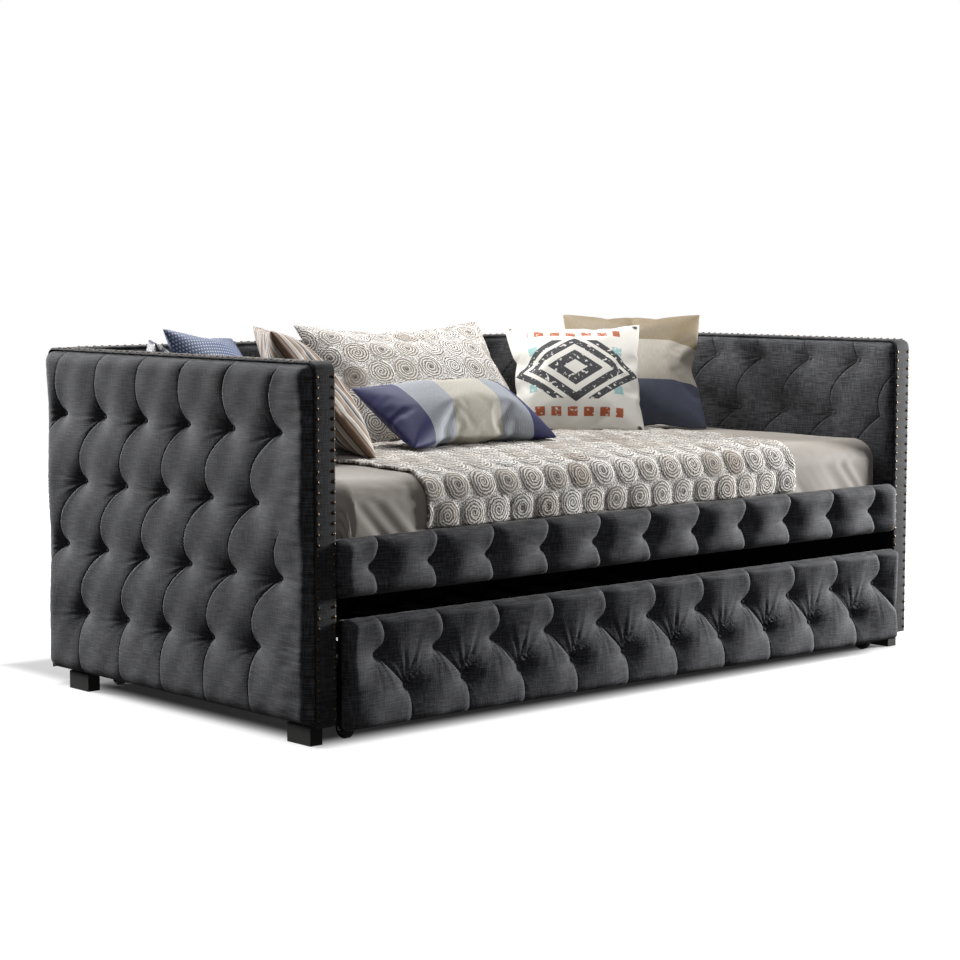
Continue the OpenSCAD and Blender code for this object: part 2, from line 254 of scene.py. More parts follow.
@dataclass(frozen=True)
class Finish:
    """A surface finish; subclasses paint it."""

    name: str

    def paint(self, m: Shade) -> None:
        """Fills the material's tree."""
        raise NotImplementedError

    def material(self) -> bpy.types.Material:
        """Returns this finish's material, made the first time."""
        name = self.name + "_finish"
        found = bpy.data.materials.get(name)
        if found:
            return found
        shade = Shade(name)
        self.paint(shade)
        return shade.material


@dataclass(frozen=True)
class Linen(Finish):
    """Slubby cross-woven upholstery linen."""

    lay: Lay = Lay.FLAT_CUT
    dark: Colour = (0.0065, 0.0068, 0.0082)
    light: Colour = (0.092, 0.094, 0.106)
    # Painted highlight along each pleat's folded edge, where the edge catches the light.
    fold_highlight: Colour = (0.42, 0.42, 0.44)

    def paint(self, m: Shade) -> None:
        """Weft and warp slubs, a soft nap, and a painted highlight along pleat edges where the
        attribute "fold" is 1.
        """
        if self.lay is Lay.FLAT_CUT:
            at = m.uv()
            weft = m.noise(at, (24, 380, 1), 4.0)
            warp = m.noise(at, (380, 30, 1), 4.0)
        else:
            at = m.place()
            weft = m.noise(at, (26, 26, 380), 4.0)
            warp = m.noise(at, (380, 380, 30), 4.0)
        patch = m.noise(at, (9, 9, 9), 1.0)
        thread = weft * 0.58 + warp * 0.42
        tone = thread.step(0.41, 0.63) * 0.85 + patch.step(0.3, 0.7) * 0.15
        cloth = m.mix(tone, self.dark, self.light)
        fold = m.node("ShaderNodeAttribute", {"attribute_name": "fold"}, output=2)
        # The attribute "fold" marks the painted highlight on the pleats' folded edges.
        m.wire("Base Color", m.mix(fold * 0.8, cloth, self.fold_highlight))
        m.wire("Roughness", 0.72 + thread * 0.2)
        m.bump(thread, 0.7, 0.0014)
        m.fixed(Sheen_Weight=0.07, Sheen_Roughness=0.4)


@dataclass(frozen=True)
class Satin(Finish):
    """Smooth woven satin of one tone."""

    tone: Colour = (0.3, 0.27, 0.24)
    rough: float = 0.42

    def paint(self, m: Shade) -> None:
        """A soft cloud of tone and a fine thread relief."""
        at = m.place()
        cloud = m.noise(at, (5, 5, 5), 2.0)
        thread = m.noise(at, (700, 90, 700), 2.0)
        low = tuple(0.86 * c for c in self.tone)
        high = tuple(min(1.1 * c, 1.0) for c in self.tone)
        m.wire("Base Color", m.mix(cloud * 0.6 + thread * 0.4, low, high))
        m.wire("Roughness", self.rough + thread * 0.12)
        m.bump(thread, 0.2, 0.0004)
        m.fixed(Sheen_Weight=0.15, Sheen_Roughness=0.35)


@dataclass(frozen=True)
class Rosettes(Finish):
    """Rows of ruffled ribbon rosettes sewn on a cream ground."""

    pitch: float = 0.079
    row: float = 0.070
    ring: float = 0.0078

    def paint(self, m: Shade) -> None:
        """Ribbon rings, each rosette with its own tint; painted shade in the gaps, some centres and
        the ground's hollows.
        """
        at = m.uv()
        wobble = m.noise(at, (75, 75, 1), 2.0)
        u, v, _ = m.split(at)
        j = (v / self.row + 0.5).floor()
        odd = j - (j / 2).floor() * 2
        along = u / self.pitch + odd * 0.5
        i = (along + 0.5).floor()
        own = m.chance(m.join(i, j, 3.0))
        other = m.chance(m.join(i, j, 8.0))
        du = (along - i) * self.pitch + (own - 0.5) * 0.006
        dv = v - j * self.row + (other - 0.5) * 0.006
        r = (du * du + dv * dv).root() + (wobble - 0.5) * 0.009
        swirl = du.math("ARCTAN2", dv)
        wave = (r * (2 * math.pi / self.ring) + swirl + own * 6.28).sin()
        scrunch = m.noise(at, (240, 240, 1), 3.0)
        ribbon = (wave + (scrunch - 0.5) * 2.6 - own * 0.7).step(-1.05, 0.10)
        # Painted shade in the gaps between the ribbon rings, its depth set per rosette.
        gap_painted_shade = m.ramp(own, [(0.0, (0.10, 0.075, 0.075)), (0.35, (0.20, 0.15, 0.125)),
                                    (0.65, (0.27, 0.235, 0.22)), (1.0, (0.40, 0.35, 0.30))])
        face = m.ramp(other, [(0.0, (0.90, 0.875, 0.83)), (0.6, (0.82, 0.78, 0.71)),
                              (1.0, (0.55, 0.49, 0.42))])
        flower = m.mix(ribbon, gap_painted_shade, face)
        # Painted shade in the pit at some rosettes' centres.
        centre_painted_shade = 1 - r.step(0.003, 0.010)
        flower = m.mix(centre_painted_shade * (own > 0.45) * 0.75, flower, (0.07, 0.055, 0.055))
        # The ground between rosettes is darker where its scrunch relief is low: painted shade in
        # its hollows.
        ground = m.mix(scrunch.step(0.40, 0.58), (0.26, 0.22, 0.20), (0.90, 0.88, 0.84))
        outside = r.step(self.pitch * 0.43, self.pitch * 0.50)
        m.wire("Base Color", m.mix(outside, flower, ground))
        relief = ribbon * (1 - outside) * 0.7 + scrunch * 0.6
        m.bump(relief, 0.9, 0.004)
        m.fixed(Roughness=0.85, Sheen_Weight=0.1)


@dataclass(frozen=True)
class Bands(Finish):
    """Cloth sewn from plain bands, laid across one direction of the cut."""

    stops: tuple = ()
    across: int = 0
    ribs: float = 0.0
    rough: float = 0.6
    repeats: float = 1.0
    ribbed: tuple[float, float] = (0.0, 1.0)

    def paint(self, m: Shade) -> None:
        """Bands of colour with fine ribs and a thread relief."""
        at = m.uv()
        parts = m.split(at)
        band = m.ramp((parts[self.across] * self.repeats).math("FRACT"), self.stops, hard=True)
        size = m.node("ShaderNodeVectorMath", {"operation": "MULTIPLY"}, (at, (0.4, 0.4, 1.0)))
        thread = m.noise(size, (420, 60, 1), 2.0)
        cloud = m.noise(size, (14, 14, 1), 1.0)
        m.wire("Base Color", m.mix(thread * 0.35 + cloud * 0.15, band, (0.0, 0.0, 0.0)))
        relief = thread
        if self.ribs:
            wave = (parts[0] * self.ribs).sin() * 0.5 + 0.5
            off = (parts[0] - 0.5).abs()
            ribbed = (off > self.ribbed[0]) * (off < self.ribbed[1])
            relief = thread * 0.3 + wave * ribbed * 0.7
        m.bump(relief, 0.3, 0.0012)
        m.fixed(Roughness=self.rough, Sheen_Weight=0.04)


@dataclass(frozen=True)
class Canvas(Finish):
    """White canvas with a plain geometric print."""

    cloth: Colour = (0.80, 0.78, 0.72)
    ink: Colour = (0.035, 0.035, 0.04)
    rust: Colour = (0.42, 0.10, 0.035)
    teal: Colour = (0.30, 0.50, 0.50)
    brass: Colour = (0.30, 0.28, 0.25)
    eyelet_at: float = 0.452
    eyelet_hole: float = 0.010
    eyelet_rim: float = 0.022

    def paint(self, m: Shade) -> None:
        """Nested diamonds, two bars of short strokes, small squares and corner eyelets."""
        at = m.uv()
        u, v, _ = m.split(at)
        x, y = (u - 0.5).abs(), (v - 0.5).abs()
        wear = m.noise(at, (34, 34, 1), 4.0)
        diamond = x * 0.80 + y * 1.02
        inner = (diamond < 0.285) * (diamond > 0.215)
        core = (diamond < 0.155) * (diamond > 0.065)
        chevron = (diamond < 0.385) * (diamond > 0.325) * (y < 0.255)
        strokes = ((u * 56.0).sin() > -0.35) * (y > 0.315) * (y < 0.385) * (x < 0.33)
        squares = ((x - 0.30).abs() < 0.035) * ((y - 0.17).abs() < 0.035)
        thread = m.noise(at, (160, 160, 1), 2.0)
        cloth = m.mix(thread * 0.3, self.cloth, (0.6, 0.58, 0.52))
        solid = wear.step(0.36, 0.42)
        tinted = m.mix(squares * solid, cloth, self.teal)
        tinted = m.mix(strokes * solid, tinted, self.rust)
        tinted = m.mix((inner + core + chevron) * solid, tinted, self.ink)
        cx, cy = x - self.eyelet_at, y - self.eyelet_at
        r = (cx * cx + cy * cy).root()
        eyelet = (r < self.eyelet_rim) * (r > self.eyelet_hole)
        # The eyelet's hole is painted near-black: painted shade inside the hole.
        tinted = m.mix(r < self.eyelet_hole, tinted, (0.02, 0.02, 0.02))
        tinted = m.mix(eyelet, tinted, self.brass)
        m.wire("Base Color", tinted)
        m.wire("Metallic", eyelet * 0.8)
        m.wire("Roughness", 0.8 - eyelet * 0.4)
        m.bump(thread * (1 - eyelet) + eyelet * 2.0, 0.25, 0.0008)
        m.fixed(Sheen_Weight=0.08)


@dataclass(frozen=True)
class Dots(Finish):
    """Blue cloth with small pale figures in staggered rows."""

    ground: Colour = (0.045, 0.07, 0.16)
    figure: Colour = (0.55, 0.60, 0.70)
    across: float = 34.0
    size: float = 0.26
    ring: bool = False

    def paint(self, m: Shade) -> None:
        """Dots, or rings, on a plain ground."""
        u, v, _ = m.split(m.uv())
        j = (v * self.across).floor()
        odd = j - (j / 2).floor() * 2
        along = u * self.across + odd * 0.5
        du = along - along.floor() - 0.5
        dv = v * self.across - j - 0.5
        r = (du * du + dv * dv).root()
        mask = 1 - r.step(self.size * 0.7, self.size)
        if self.ring:
            mask = mask * r.step(self.size * 0.35, self.size * 0.5) + (r < self.size * 0.2)
        thread = m.noise(m.uv(), (160, 160, 1), 2.0)
        m.wire("Base Color", m.mix(mask * (0.55 + thread * 0.5), self.ground, self.figure))
        m.bump(thread, 0.2, 0.0006)
        m.fixed(Roughness=0.62, Sheen_Weight=0.12)


@dataclass(frozen=True)
class Wood(Finish):
    """Sawn or stained timber with grain along its length."""

    dark: Colour = (0.30, 0.18, 0.09)
    light: Colour = (0.58, 0.41, 0.24)
    rough: float = 0.6
    coat: float = 0.0

    def paint(self, m: Shade) -> None:
        """Long grain streaks and fine pores."""
        at = m.place()
        streak = m.noise(at, (5, 60, 60), 4.0)
        pores = m.noise(at, (40, 500, 500), 2.0)
        tone = streak.step(0.3, 0.7) * 0.8 + pores * 0.2
        m.wire("Base Color", m.mix(tone, self.dark, self.light))
        m.wire("Roughness", self.rough + pores * 0.15)
        m.bump(streak * 0.6 + pores * 0.4, 0.25, 0.0006)
        m.fixed(Coat_Weight=self.coat, Coat_Roughness=0.25)


@dataclass(frozen=True)
class Metal(Finish):
    """Plated or antiqued metal."""

    bright: Colour = (0.62, 0.62, 0.64)
    dull: Colour = (0.40, 0.40, 0.42)
    rough: float = 0.35

    def paint(self, m: Shade) -> None:
        """Cloudy plating with fine scratches."""
        at = m.place()
        cloud = m.noise(at, (120, 120, 120), 3.0)
        scratch = m.noise(at, (900, 60, 900), 2.0)
        m.wire("Base Color", m.mix(cloud.step(0.35, 0.65), self.dull, self.bright))
        m.wire("Roughness", self.rough + scratch * 0.2)
        m.bump(scratch, 0.15, 0.0002)
        m.fixed(Metallic=1.0)


@dataclass(frozen=True)
class Moulded(Finish):
    """Moulded black plastic with a worn tread."""

    tone: Colour = (0.012, 0.012, 0.013)

    def paint(self, m: Shade) -> None:
        """A fine spark-eroded grain."""
        at = m.place()
        grain = m.noise(at, (1400, 1400, 1400), 2.0)
        dust = m.noise(at, (45, 45, 45), 3.0)
        m.wire("Base Color", m.mix(dust.step(0.5, 0.8), self.tone, (0.035, 0.034, 0.033)))
        m.wire("Roughness", 0.42 + grain * 0.15)
        m.bump(grain, 0.2, 0.0002)


@dataclass(frozen=True)
class Ticking(Finish):
    """Mattress ticking with narrow woven stripes."""

    def paint(self, m: Shade) -> None:
        """Grey-blue stripes on off-white."""
        x, _, _ = m.split(m.place())
        stripe = (x * (2 * math.pi / 0.024)).sin().step(0.55, 0.75)
        thread = m.noise(m.place(), (500, 500, 500), 2.0)
        m.wire("Base Color", m.mix(stripe, (0.72, 0.70, 0.65), (0.25, 0.29, 0.36)))
        m.bump(thread, 0.2, 0.0005)
        m.fixed(Roughness=0.8)


LINEN = Linen("charcoal_linen")
LINEN_AS_STANDS = Linen("charcoal_linen_wrapped", Lay.AS_IT_STANDS)
# The border bands' linen is the pads' charcoal linen painted darker: painted shade on the bands,
# not a different cloth.
LINEN_BAND_PAINTED_SHADE = Linen("charcoal_linen_band_painted_shade", Lay.AS_IT_STANDS, (0.005, 0.005, 0.006),
                   (0.045, 0.046, 0.052))
ESPRESSO = Wood("espresso_wood", (0.004, 0.003, 0.0025), (0.012, 0.008, 0.006), 0.45, 0.15)
BRONZE = Metal("bronze_nail", (0.19, 0.13, 0.08), (0.05, 0.034, 0.024), 0.38)
ZINC = Metal("zinc_steel")
BLACK_STEEL = Metal("black_steel", (0.05, 0.05, 0.052), (0.02, 0.02, 0.02), 0.4)
BLACK_WHEEL = Moulded("black_wheel")
TICKING = Ticking("ticking")
TAUPE = Satin("taupe_satin", (0.37, 0.335, 0.295), 0.66)
ROSETTE = Rosettes("rosette_cloth")
# Near-black cloth on the arm and back cores: painted shade, so the space under the arms and back
# reads dark.
CORE_PAINTED_SHADE = Linen("core_black_painted_shade", Lay.AS_IT_STANDS, (0.006, 0.006, 0.006), (0.016, 0.016, 0.017))
# Near-black timber: painted shade, so the space under the bed and inside the trundle reads dark;
# not the timber's own colour.
TIMBER_PAINTED_SHADE = Wood("timber_dark_painted_shade", (0.002, 0.0016, 0.0014), (0.006, 0.0046, 0.004), 0.8)


# ---------------------------------------------------------------------------
# Modelling helpers
# ---------------------------------------------------------------------------


def deselect() -> None:
    """Leaves object mode with nothing selected."""
    if bpy.context.object and bpy.context.object.mode != "OBJECT":
        bpy.ops.object.mode_set(mode="OBJECT")
    bpy.ops.object.select_all(action="DESELECT")


def hold(piece: bpy.types.Object) -> None:
    """Selects this piece alone and makes it active."""
    deselect()
    piece.select_set(True)
    bpy.context.view_layer.objects.active = piece


def points_of(piece: bpy.types.Object) -> Array:
    """Returns the piece's vertices as an (n, 3) array."""
    flat = np.empty(len(piece.data.vertices) * 3)
    piece.data.vertices.foreach_get("co", flat)
    return flat.reshape(-1, 3)


def set_points(piece: bpy.types.Object, points: Array) -> None:
    """Moves the piece's vertices to points."""
    piece.data.vertices.foreach_set("co", points.ravel())
    piece.data.update()


def set_uv(piece: bpy.types.Object, per_point: Array) -> None:
    """Writes one UV pair per vertex to the piece's UV map."""
    mesh = piece.data
    layer = mesh.uv_layers.active or mesh.uv_layers.new(name="cut")
    corner = np.empty(len(mesh.loops), np.int64)
    mesh.loops.foreach_get("vertex_index", corner)
    layer.uv.foreach_set("vector", per_point[corner].ravel())


def add_grid(name: str, columns: Array, rows: Array) -> bpy.types.Object:
    """Adds a grid in the XY plane whose lines lie at the given places.

    Args:
        name: the piece's name.
        columns: places of the lines along X, rising.
        rows: places of the lines along Y, rising.

    Returns:
        The grid.
    """
    deselect()
    nx, ny = len(columns) - 1, len(rows) - 1
    bpy.ops.mesh.primitive_grid_add(x_subdivisions=nx, y_subdivisions=ny, size=2, calc_uvs=True)
    piece = bpy.context.object
    piece.name = piece.data.name = name
    at = points_of(piece)
    i = np.rint((at[:, 0] + 1) / 2 * nx).astype(int)
    j = np.rint((at[:, 1] + 1) / 2 * ny).astype(int)
    set_points(piece, np.column_stack([columns[i], rows[j], np.zeros(len(at))]))
    return piece


def edit(piece: bpy.types.Object, mode: str = "VERT") -> None:
    """Opens the piece in edit mode with everything selected."""
    hold(piece)
    bpy.ops.object.mode_set(mode="EDIT")
    bpy.ops.mesh.select_mode(type=mode)
    bpy.ops.mesh.select_all(action="SELECT")


def done(piece: bpy.types.Object) -> None:
    """Leaves edit mode."""
    bpy.ops.object.mode_set(mode="OBJECT")
    piece.select_set(False)


def finish_with(piece: bpy.types.Object, kind: str, **settings: "float | int | str | bool") -> None:
    """Adds a modifier to the piece and applies it."""
    hold(piece)
    bpy.ops.object.modifier_add(type=kind)
    modifier = piece.modifiers[-1]
    for key, value in settings.items():
        setattr(modifier, key, value)
    bpy.ops.object.modifier_apply(modifier=modifier.name)


def smooth(piece: bpy.types.Object, angle: float = 0.0) -> None:
    """Shades the piece smooth, with edges over angle (in degrees) left sharp if it isn't 0."""
    hold(piece)
    if angle:
        bpy.ops.object.shade_smooth_by_angle(angle=math.radians(angle))
    else:
        bpy.ops.object.shade_smooth()
    piece.select_set(False)


def fill_back(piece: bpy.types.Object, to_plane: bool = False) -> None:
    """Fills a piece's open edge, drawn down to the plane z = 0 first if to_plane is True."""
    edit(piece, "EDGE")
    bpy.ops.mesh.select_all(action="DESELECT")
    bpy.ops.mesh.select_non_manifold()
    if to_plane:
        bpy.ops.mesh.extrude_region_move(TRANSFORM_OT_translate={"value": (0, 0, -0.001)})
        bpy.ops.transform.resize(value=(1, 1, 0), center_override=(0, 0, 0))
    bpy.ops.mesh.edge_face_add()
    done(piece)


def coat(piece: bpy.types.Object, finish: Finish) -> None:
    """Gives a piece a finish as its only material."""
    piece.data.materials.clear()
    piece.data.materials.append(finish.material())


def dress(piece: bpy.types.Object, finish: Finish, body: str, *stands_for: str) -> None:
    """Gives a finished piece its finish, its body and the CAD nodes that it replaces.

    Args:
        piece: the finished mesh.
        finish: the finish that it is made in.
        body: the CAD body that it rides on.
        *stands_for: CAD nodes that it replaces.
    """
    coat(piece, finish)
    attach(piece, body)
    if stands_for:
        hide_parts(*stands_for)
    log.info("%s: %d faces", piece.name, len(piece.data.polygons))


def spread(stops: Sequence[float], low: float, high: float, fine: float, coarse: float,
           reach: float) -> Array:
    """Returns rising places from low to high, close together near the stops.

    Args:
        stops: places that get a line of their own and close neighbours.
        low: the first place.
        high: the last place.
        fine: spacing within reach of a stop.
        coarse: spacing elsewhere.
        reach: how far the fine spacing goes.

    Returns:
        The places.
    """
    marks = sorted({low, high, *[s for s in stops if low < s < high]})
    for s in list(marks):
        if low < s < high:
            marks += [m for m in (s - reach, s + reach) if low < m < high]
    marks = sorted(set(marks))
    places = [low]
    for a, b in zip(marks[:-1], marks[1:]):
        middle = (a + b) / 2
        near = min(abs(middle - s) for s in stops) < reach if len(stops) else False
        count = max(1, math.ceil((b - a) / (fine if near else coarse) - 0.01))
        places += [a + (b - a) * k / count for k in range(1, count + 1)]
    return np.array(places)


# ---------------------------------------------------------------------------
# Tufted pads
# ---------------------------------------------------------------------------


class Facing(Enum):
    """Which way a pad faces: its outward normal."""

    LEFT = (-1, 0, 0)
    RIGHT = (1, 0, 0)
    FRONT = (0, -1, 0)
    REAR = (0, 1, 0)

    @property
    def normal(self) -> Vector:
        """Returns the outward normal."""
        return Vector(self.value)

    @property
    def right(self) -> Vector:
        """Returns the direction to the right for someone who faces the pad."""
        return Vector((0, 0, 1)).cross(self.normal)


@dataclass(frozen=True)
class Tufting:
    """A pad's button layout and how its pleats run between the rows.

    Attributes:
        rows: heights of the button rows, from the top.
        pitch: distance between two buttons of a row.
        columns: buttons in the top row; every other row has one fewer.
        centre: middle of the rows along the world axis.
        lean: 1 where pleats run down to the right, -1 to the left, 0 where there is one row.
        ease: how fast a pleat leaves the upper row; 1 is a straight run.
        bow: how far a pleat bows out between two rows, as a share of half the pitch.
        bulge: how far a pleat bulges above the top row.
        low_bulge: the same below the bottom row.
        drift: how far a pleat's free end has moved across at the pad's edge.
        lip: 1 where the fold's sharp side is on the right, -1 on the left.
    """

    rows: tuple[float, ...]
    pitch: float
    columns: int
    centre: float = 0.0
    lean: float = -1.0
    ease: float = 2.0
    bow: float = 0.2
    bulge: float = -0.019
    low_bulge: float = -0.012
    drift: float = 0.034
    lip: float = 1.0

    def count(self, row: int) -> int:
        """Returns how many buttons a row has, counted from the top."""
        return self.columns - row % 2

    def buttons(self, sign: float) -> Array:
        """Returns the buttons as (across, up) pairs; sign is 1 where across runs with the axis."""
        spots = []
        for r, z in enumerate(self.rows):
            n = self.count(r)
            spots += [(sign * self.centre + (i - (n - 1) / 2) * self.pitch, z) for i in range(n)]
        return np.array(spots)

    def first(self, sign: float) -> float:
        """Returns the place of one pleat at the top row."""
        return self.buttons(sign)[0, 0]

    def shift(self, z: Array) -> tuple[Array, Array]:
        """Returns how far a pleat has moved across at height z, and its nearness to the rows.

        Args:
            z: heights.

        Returns:
            The shift across, and a value that is 0 at a button row and 1 midway between two.
        """
        gap = abs(self.rows[0] - self.rows[1]) if len(self.rows) > 1 else 0.16
        half = self.lean * self.pitch / 2
        top, low = z >= self.rows[0], z < self.rows[-1]
        t = np.clip(np.where(top, z - self.rows[0], self.rows[-1] - z) / gap, 0, 1)
        ends = np.where(low, half * (len(self.rows) - 1), 0.0)
        moved = ends + np.where(low, self.low_bulge, self.bulge) * np.sin(np.pi * t)
        moved = moved + self.drift * t**2.5 * np.where(low, 0.3, 1.0)
        away = np.clip(2 * t, 0, 1)
        for r, (upper, lower) in enumerate(zip(self.rows[:-1], self.rows[1:])):
            here = (z < upper) & (z >= lower)
            t = (upper - z) / (upper - lower)
            curve = 1 - np.clip(1 - t, 0, None) ** self.ease + self.bow * np.sin(np.pi * t)
            moved = np.where(here, half * (r + curve), moved)
            away = np.where(here, 1 - np.abs(2 * t - 1), away)
        return moved, away


@dataclass(frozen=True)
class Edge:
    """How a pad's cover rolls down at one edge: over what radius, and to what height."""

    radius: float
    level: float


@dataclass
class TuftedPad:
    """A buttoned pad with sewn-in pleats, over a board.

    Attributes:
        name: the CAD pad that it stands for.
        facing: which way it faces.
        tufting: its buttons and pleats.
        body: the CAD body that it rides on.
        edges: how it ends on the left, the right, at the bottom and at the top.
        floor: height of the cover under a button.
        proud: how far a full puff stands past the CAD pad.
        mid_pleat: depth of a pleat midway between two rows.
        near_pleat: depth of a pleat at a button.
        fade: how far the gentle side of a pleat reaches.
        stitch: depth of the seam in a pleat.
        roll_over: width of the round on the sharp side of a pleat.
        dimple: reach of a button's dimple.
        wide: how much wider than high a dimple is.
        corner: radius of the pad's corners.
        pull: height of the wrinkles that a button draws up.
        fans: the way in which the wrinkles fan out, in degrees, at the top row and below it.
        strength: how strong they are at the top row and below it.
        one_sided: how much of them lies on the fan's own side.
        coarse: the mesh's widest spacing across a puff.
        side_folds: height of the level folds at an arm's front edge; 0 leaves them out.
        notch: (across, up, most), a corner where the cover stays under the height "most".
    """

    name: str
    facing: Facing
    tufting: Tufting
    body: str
    edges: tuple[Edge, Edge, Edge, Edge]
    floor: float = 0.0025
    proud: float = 0.007
    mid_pleat: float = 0.0055
    near_pleat: float = 0.013
    fade: float = 0.015
    stitch: float = 0.0030
    roll_over: float = 0.006
    dimple: float = 0.036
    wide: float = 1.25
    corner: float = 0.016
    pull: float = 0.0019
    fans: tuple[float, float] = (180.0, 180.0)
    strength: tuple[float, float] = (1.0, 1.0)
    one_sided: float = 0.6
    coarse: float = 0.010
    side_folds: float = 0.0
    notch: "tuple[float, float, float] | None" = None

    def span(self) -> tuple[float, float, float, float, float, float]:
        """Returns left, right, low, high, the base plane and the crown, from the CAD pad."""
        lo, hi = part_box(self.name)
        right, normal = self.facing.right, self.facing.normal
        across = sorted((lo.dot(right), hi.dot(right)))
        out = sorted((lo.dot(normal), hi.dot(normal)))
        return across[0], across[1], lo.z, hi.z, out[0], out[1] - out[0] + self.proud

    def sign(self) -> float:
        """Returns 1 where the pad's across runs with the world axis, else -1."""
        return 1.0 if sum(self.facing.right) > 0 else -1.0

    def _relief(self, a: Array, z: Array, crown: float) -> Array:
        """Returns the height of the cover over the board before its edges are rolled.

        Args:
            a: places across, to the right of someone who faces the pad.
            z: heights.
            crown: the height of a full puff.

        Returns:
            The heights.
        """
        tufts = self.tufting
        drop = crown - self.floor
        # Pleats: x is the distance past the nearest one, square to its run.
        moved, away = tufts.shift(z)
        small = 0.012
        slope = (tufts.shift(z + small)[0] - tufts.shift(z - small)[0]) / (2 * small)
        lean = np.sqrt(1 + np.clip(slope, -3, 3) ** 2)
        x = a - moved - tufts.first(self.sign())
        x = (x - np.round(x / tufts.pitch) * tufts.pitch) / lean * tufts.lip
        depth = self.mid_pleat + (self.near_pleat - self.mid_pleat) * (1 - away) ** 2
        least = np.exp(-tufts.pitch / (2 * lean * self.fade))
        gradual = (np.exp(np.minimum(x, 0) / self.fade) - least) / (1 - least)
        turn = 1 - np.clip(x / self.roll_over, 0, 1)
        steep = 1 - np.sqrt(1 - turn**2)
        pleat = depth * np.where(x < 0, gradual, steep)
        groove = self.stitch * np.exp(-((x / 0.0018) ** 2))
        left = 1 - np.clip((pleat + groove) / drop, 0, 0.98)
        # Buttons: each draws a dimple, with wrinkles that fan out from it.
        buttons = tufts.buttons(self.sign())
        left = 1 - (1 - left) * self._pleated(a, buttons)
        wrinkle = np.zeros_like(a)
        for k, (ba, bz) in enumerate(buttons):
            da, dz = a - ba, z - bz
            d = np.hypot(da / self.wide, dz)
            sink = np.maximum(d - 0.005, 0) / self.dimple
            left = left * (1 - 0.98 * np.exp(-(sink**0.85)))
            around = np.arctan2(dz, da)
            row = 0 if bz == tufts.rows[0] else 1
            axis = math.radians(self.fans[row])
            rays = np.sin(17 * around + k * 1.7) + 0.6 * np.sin(29 * around + k * 0.9)
            rays = rays * np.cos(around - axis) ** 2
            rays = rays * (1 + self.one_sided * np.cos(around - axis))
            rays = rays * self.strength[row]
            wrinkle += rays * d / (d + 0.010) * np.exp(-d / 0.032)
        lumps = np.sin(a * 41 + z * 23) + np.sin(a * 67 - z * 39 + 1.3)
        body = self.floor + drop * left + 0.0008 * lumps * left + self.pull * wrinkle
        return body + self._side_folds(a, z, buttons)

    def _mark_fold_highlights(self, piece: bpy.types.Object, a: Array, z: Array) -> None:
        """Stores where the painted highlight along each pleat's folded edge runs."""
        tufts = self.tufting
        moved, away = tufts.shift(z)
        x = a - moved - tufts.first(self.sign())
        x = (x - np.round(x / tufts.pitch) * tufts.pitch) * tufts.lip
        line = np.clip(x / 0.0010, 0, 1) * (1 - np.clip((x - 0.0026) / 0.0018, 0, 1))
        line = line * np.clip(away * 2 - 0.3, 0, 1)
        line = line * (self._pleated(a, tufts.buttons(self.sign())) > 0.99)
        mark = piece.data.attributes.new("fold", "FLOAT", "POINT")
        mark.data.foreach_set("value", line.astype(np.float32))

    def _front(self, a: Array, buttons: Array) -> tuple[Array, float]:
        """Returns places and the last button's place, both counted towards the bed's front."""
        towards = 1.0 if self.facing.right.y < 0 else -1.0
        return a * towards, float((buttons[:, 0] * towards).max())

    def _pleated(self, a: Array, buttons: Array) -> Array:
        """Returns 1 where the pads are pleated and 0 on an arm's smooth front strip."""
        if not self.side_folds:
            return np.ones_like(a)
        place, end = self._front(a, buttons)
        return 1 - np.clip((place - end - 0.004) / 0.022, 0, 1)

    def _side_folds(self, a: Array, z: Array, buttons: Array) -> Array:
        """Returns the fine level folds between an arm's last buttons and its front edge."""
        if not self.side_folds:
            return np.zeros_like(a)
        place, end = self._front(a, buttons)
        past = np.clip((place - end - 0.004) / 0.04, 0, 1)
        wave = np.sin(z * 300 + 4 * np.sin(z * 31) + a * 12) + 0.7 * np.sin(z * 171 - a * 30)
        return self.side_folds * past * wave

    def build(self) -> bpy.types.Object:
        """Makes the pad's mesh.

        Returns:
            The finished pad, in place.
        """
        left, right, low, high, base, crown = self.span()
        tufts = self.tufting
        rows = spread(tufts.rows, low, high, 0.0038, 0.0066, 0.026)
        reach = abs(tufts.lean) * tufts.pitch / 2 * (len(tufts.rows) + 1)
        origin = tufts.first(self.sign())
        ring = self._ring()
        first = math.floor((left - reach - origin) / tufts.pitch)
        last = math.ceil((right + reach - origin) / tufts.pitch)
        columns = np.concatenate([origin + k * tufts.pitch + ring for k in range(first, last)])
        piece = add_grid(self.name + "_cover", columns, rows)
        at = points_of(piece)
        at[:, 0] += tufts.shift(at[:, 1])[0]
        set_points(piece, at)
        for place, outward in ((left, -1), (right, 1)):
            edit(piece)
            bpy.ops.mesh.bisect(plane_co=(place, 0, 0), plane_no=(outward, 0, 0), clear_outer=True)
            done(piece)
        at = points_of(piece)
        a, z = at[:, 0].copy(), at[:, 1].copy()
        height = self._relief(a, z, crown)
        for edge, inside in zip(self.edges, (a - left, right - a, z - low, high - z)):
            share = np.clip(1 - inside / edge.radius, 0, 1)
            roll = np.sqrt(1 - share**2)
            height = edge.level + (height - edge.level) * roll
        if self.notch:
            na, nz, most = self.notch
            inside = (-self.sign() * a > na) & (z < nz)
            height = np.where(inside, np.minimum(height, most), height)
        height = np.maximum(height, 0.0012)
        set_uv(piece, np.column_stack([a, z]))
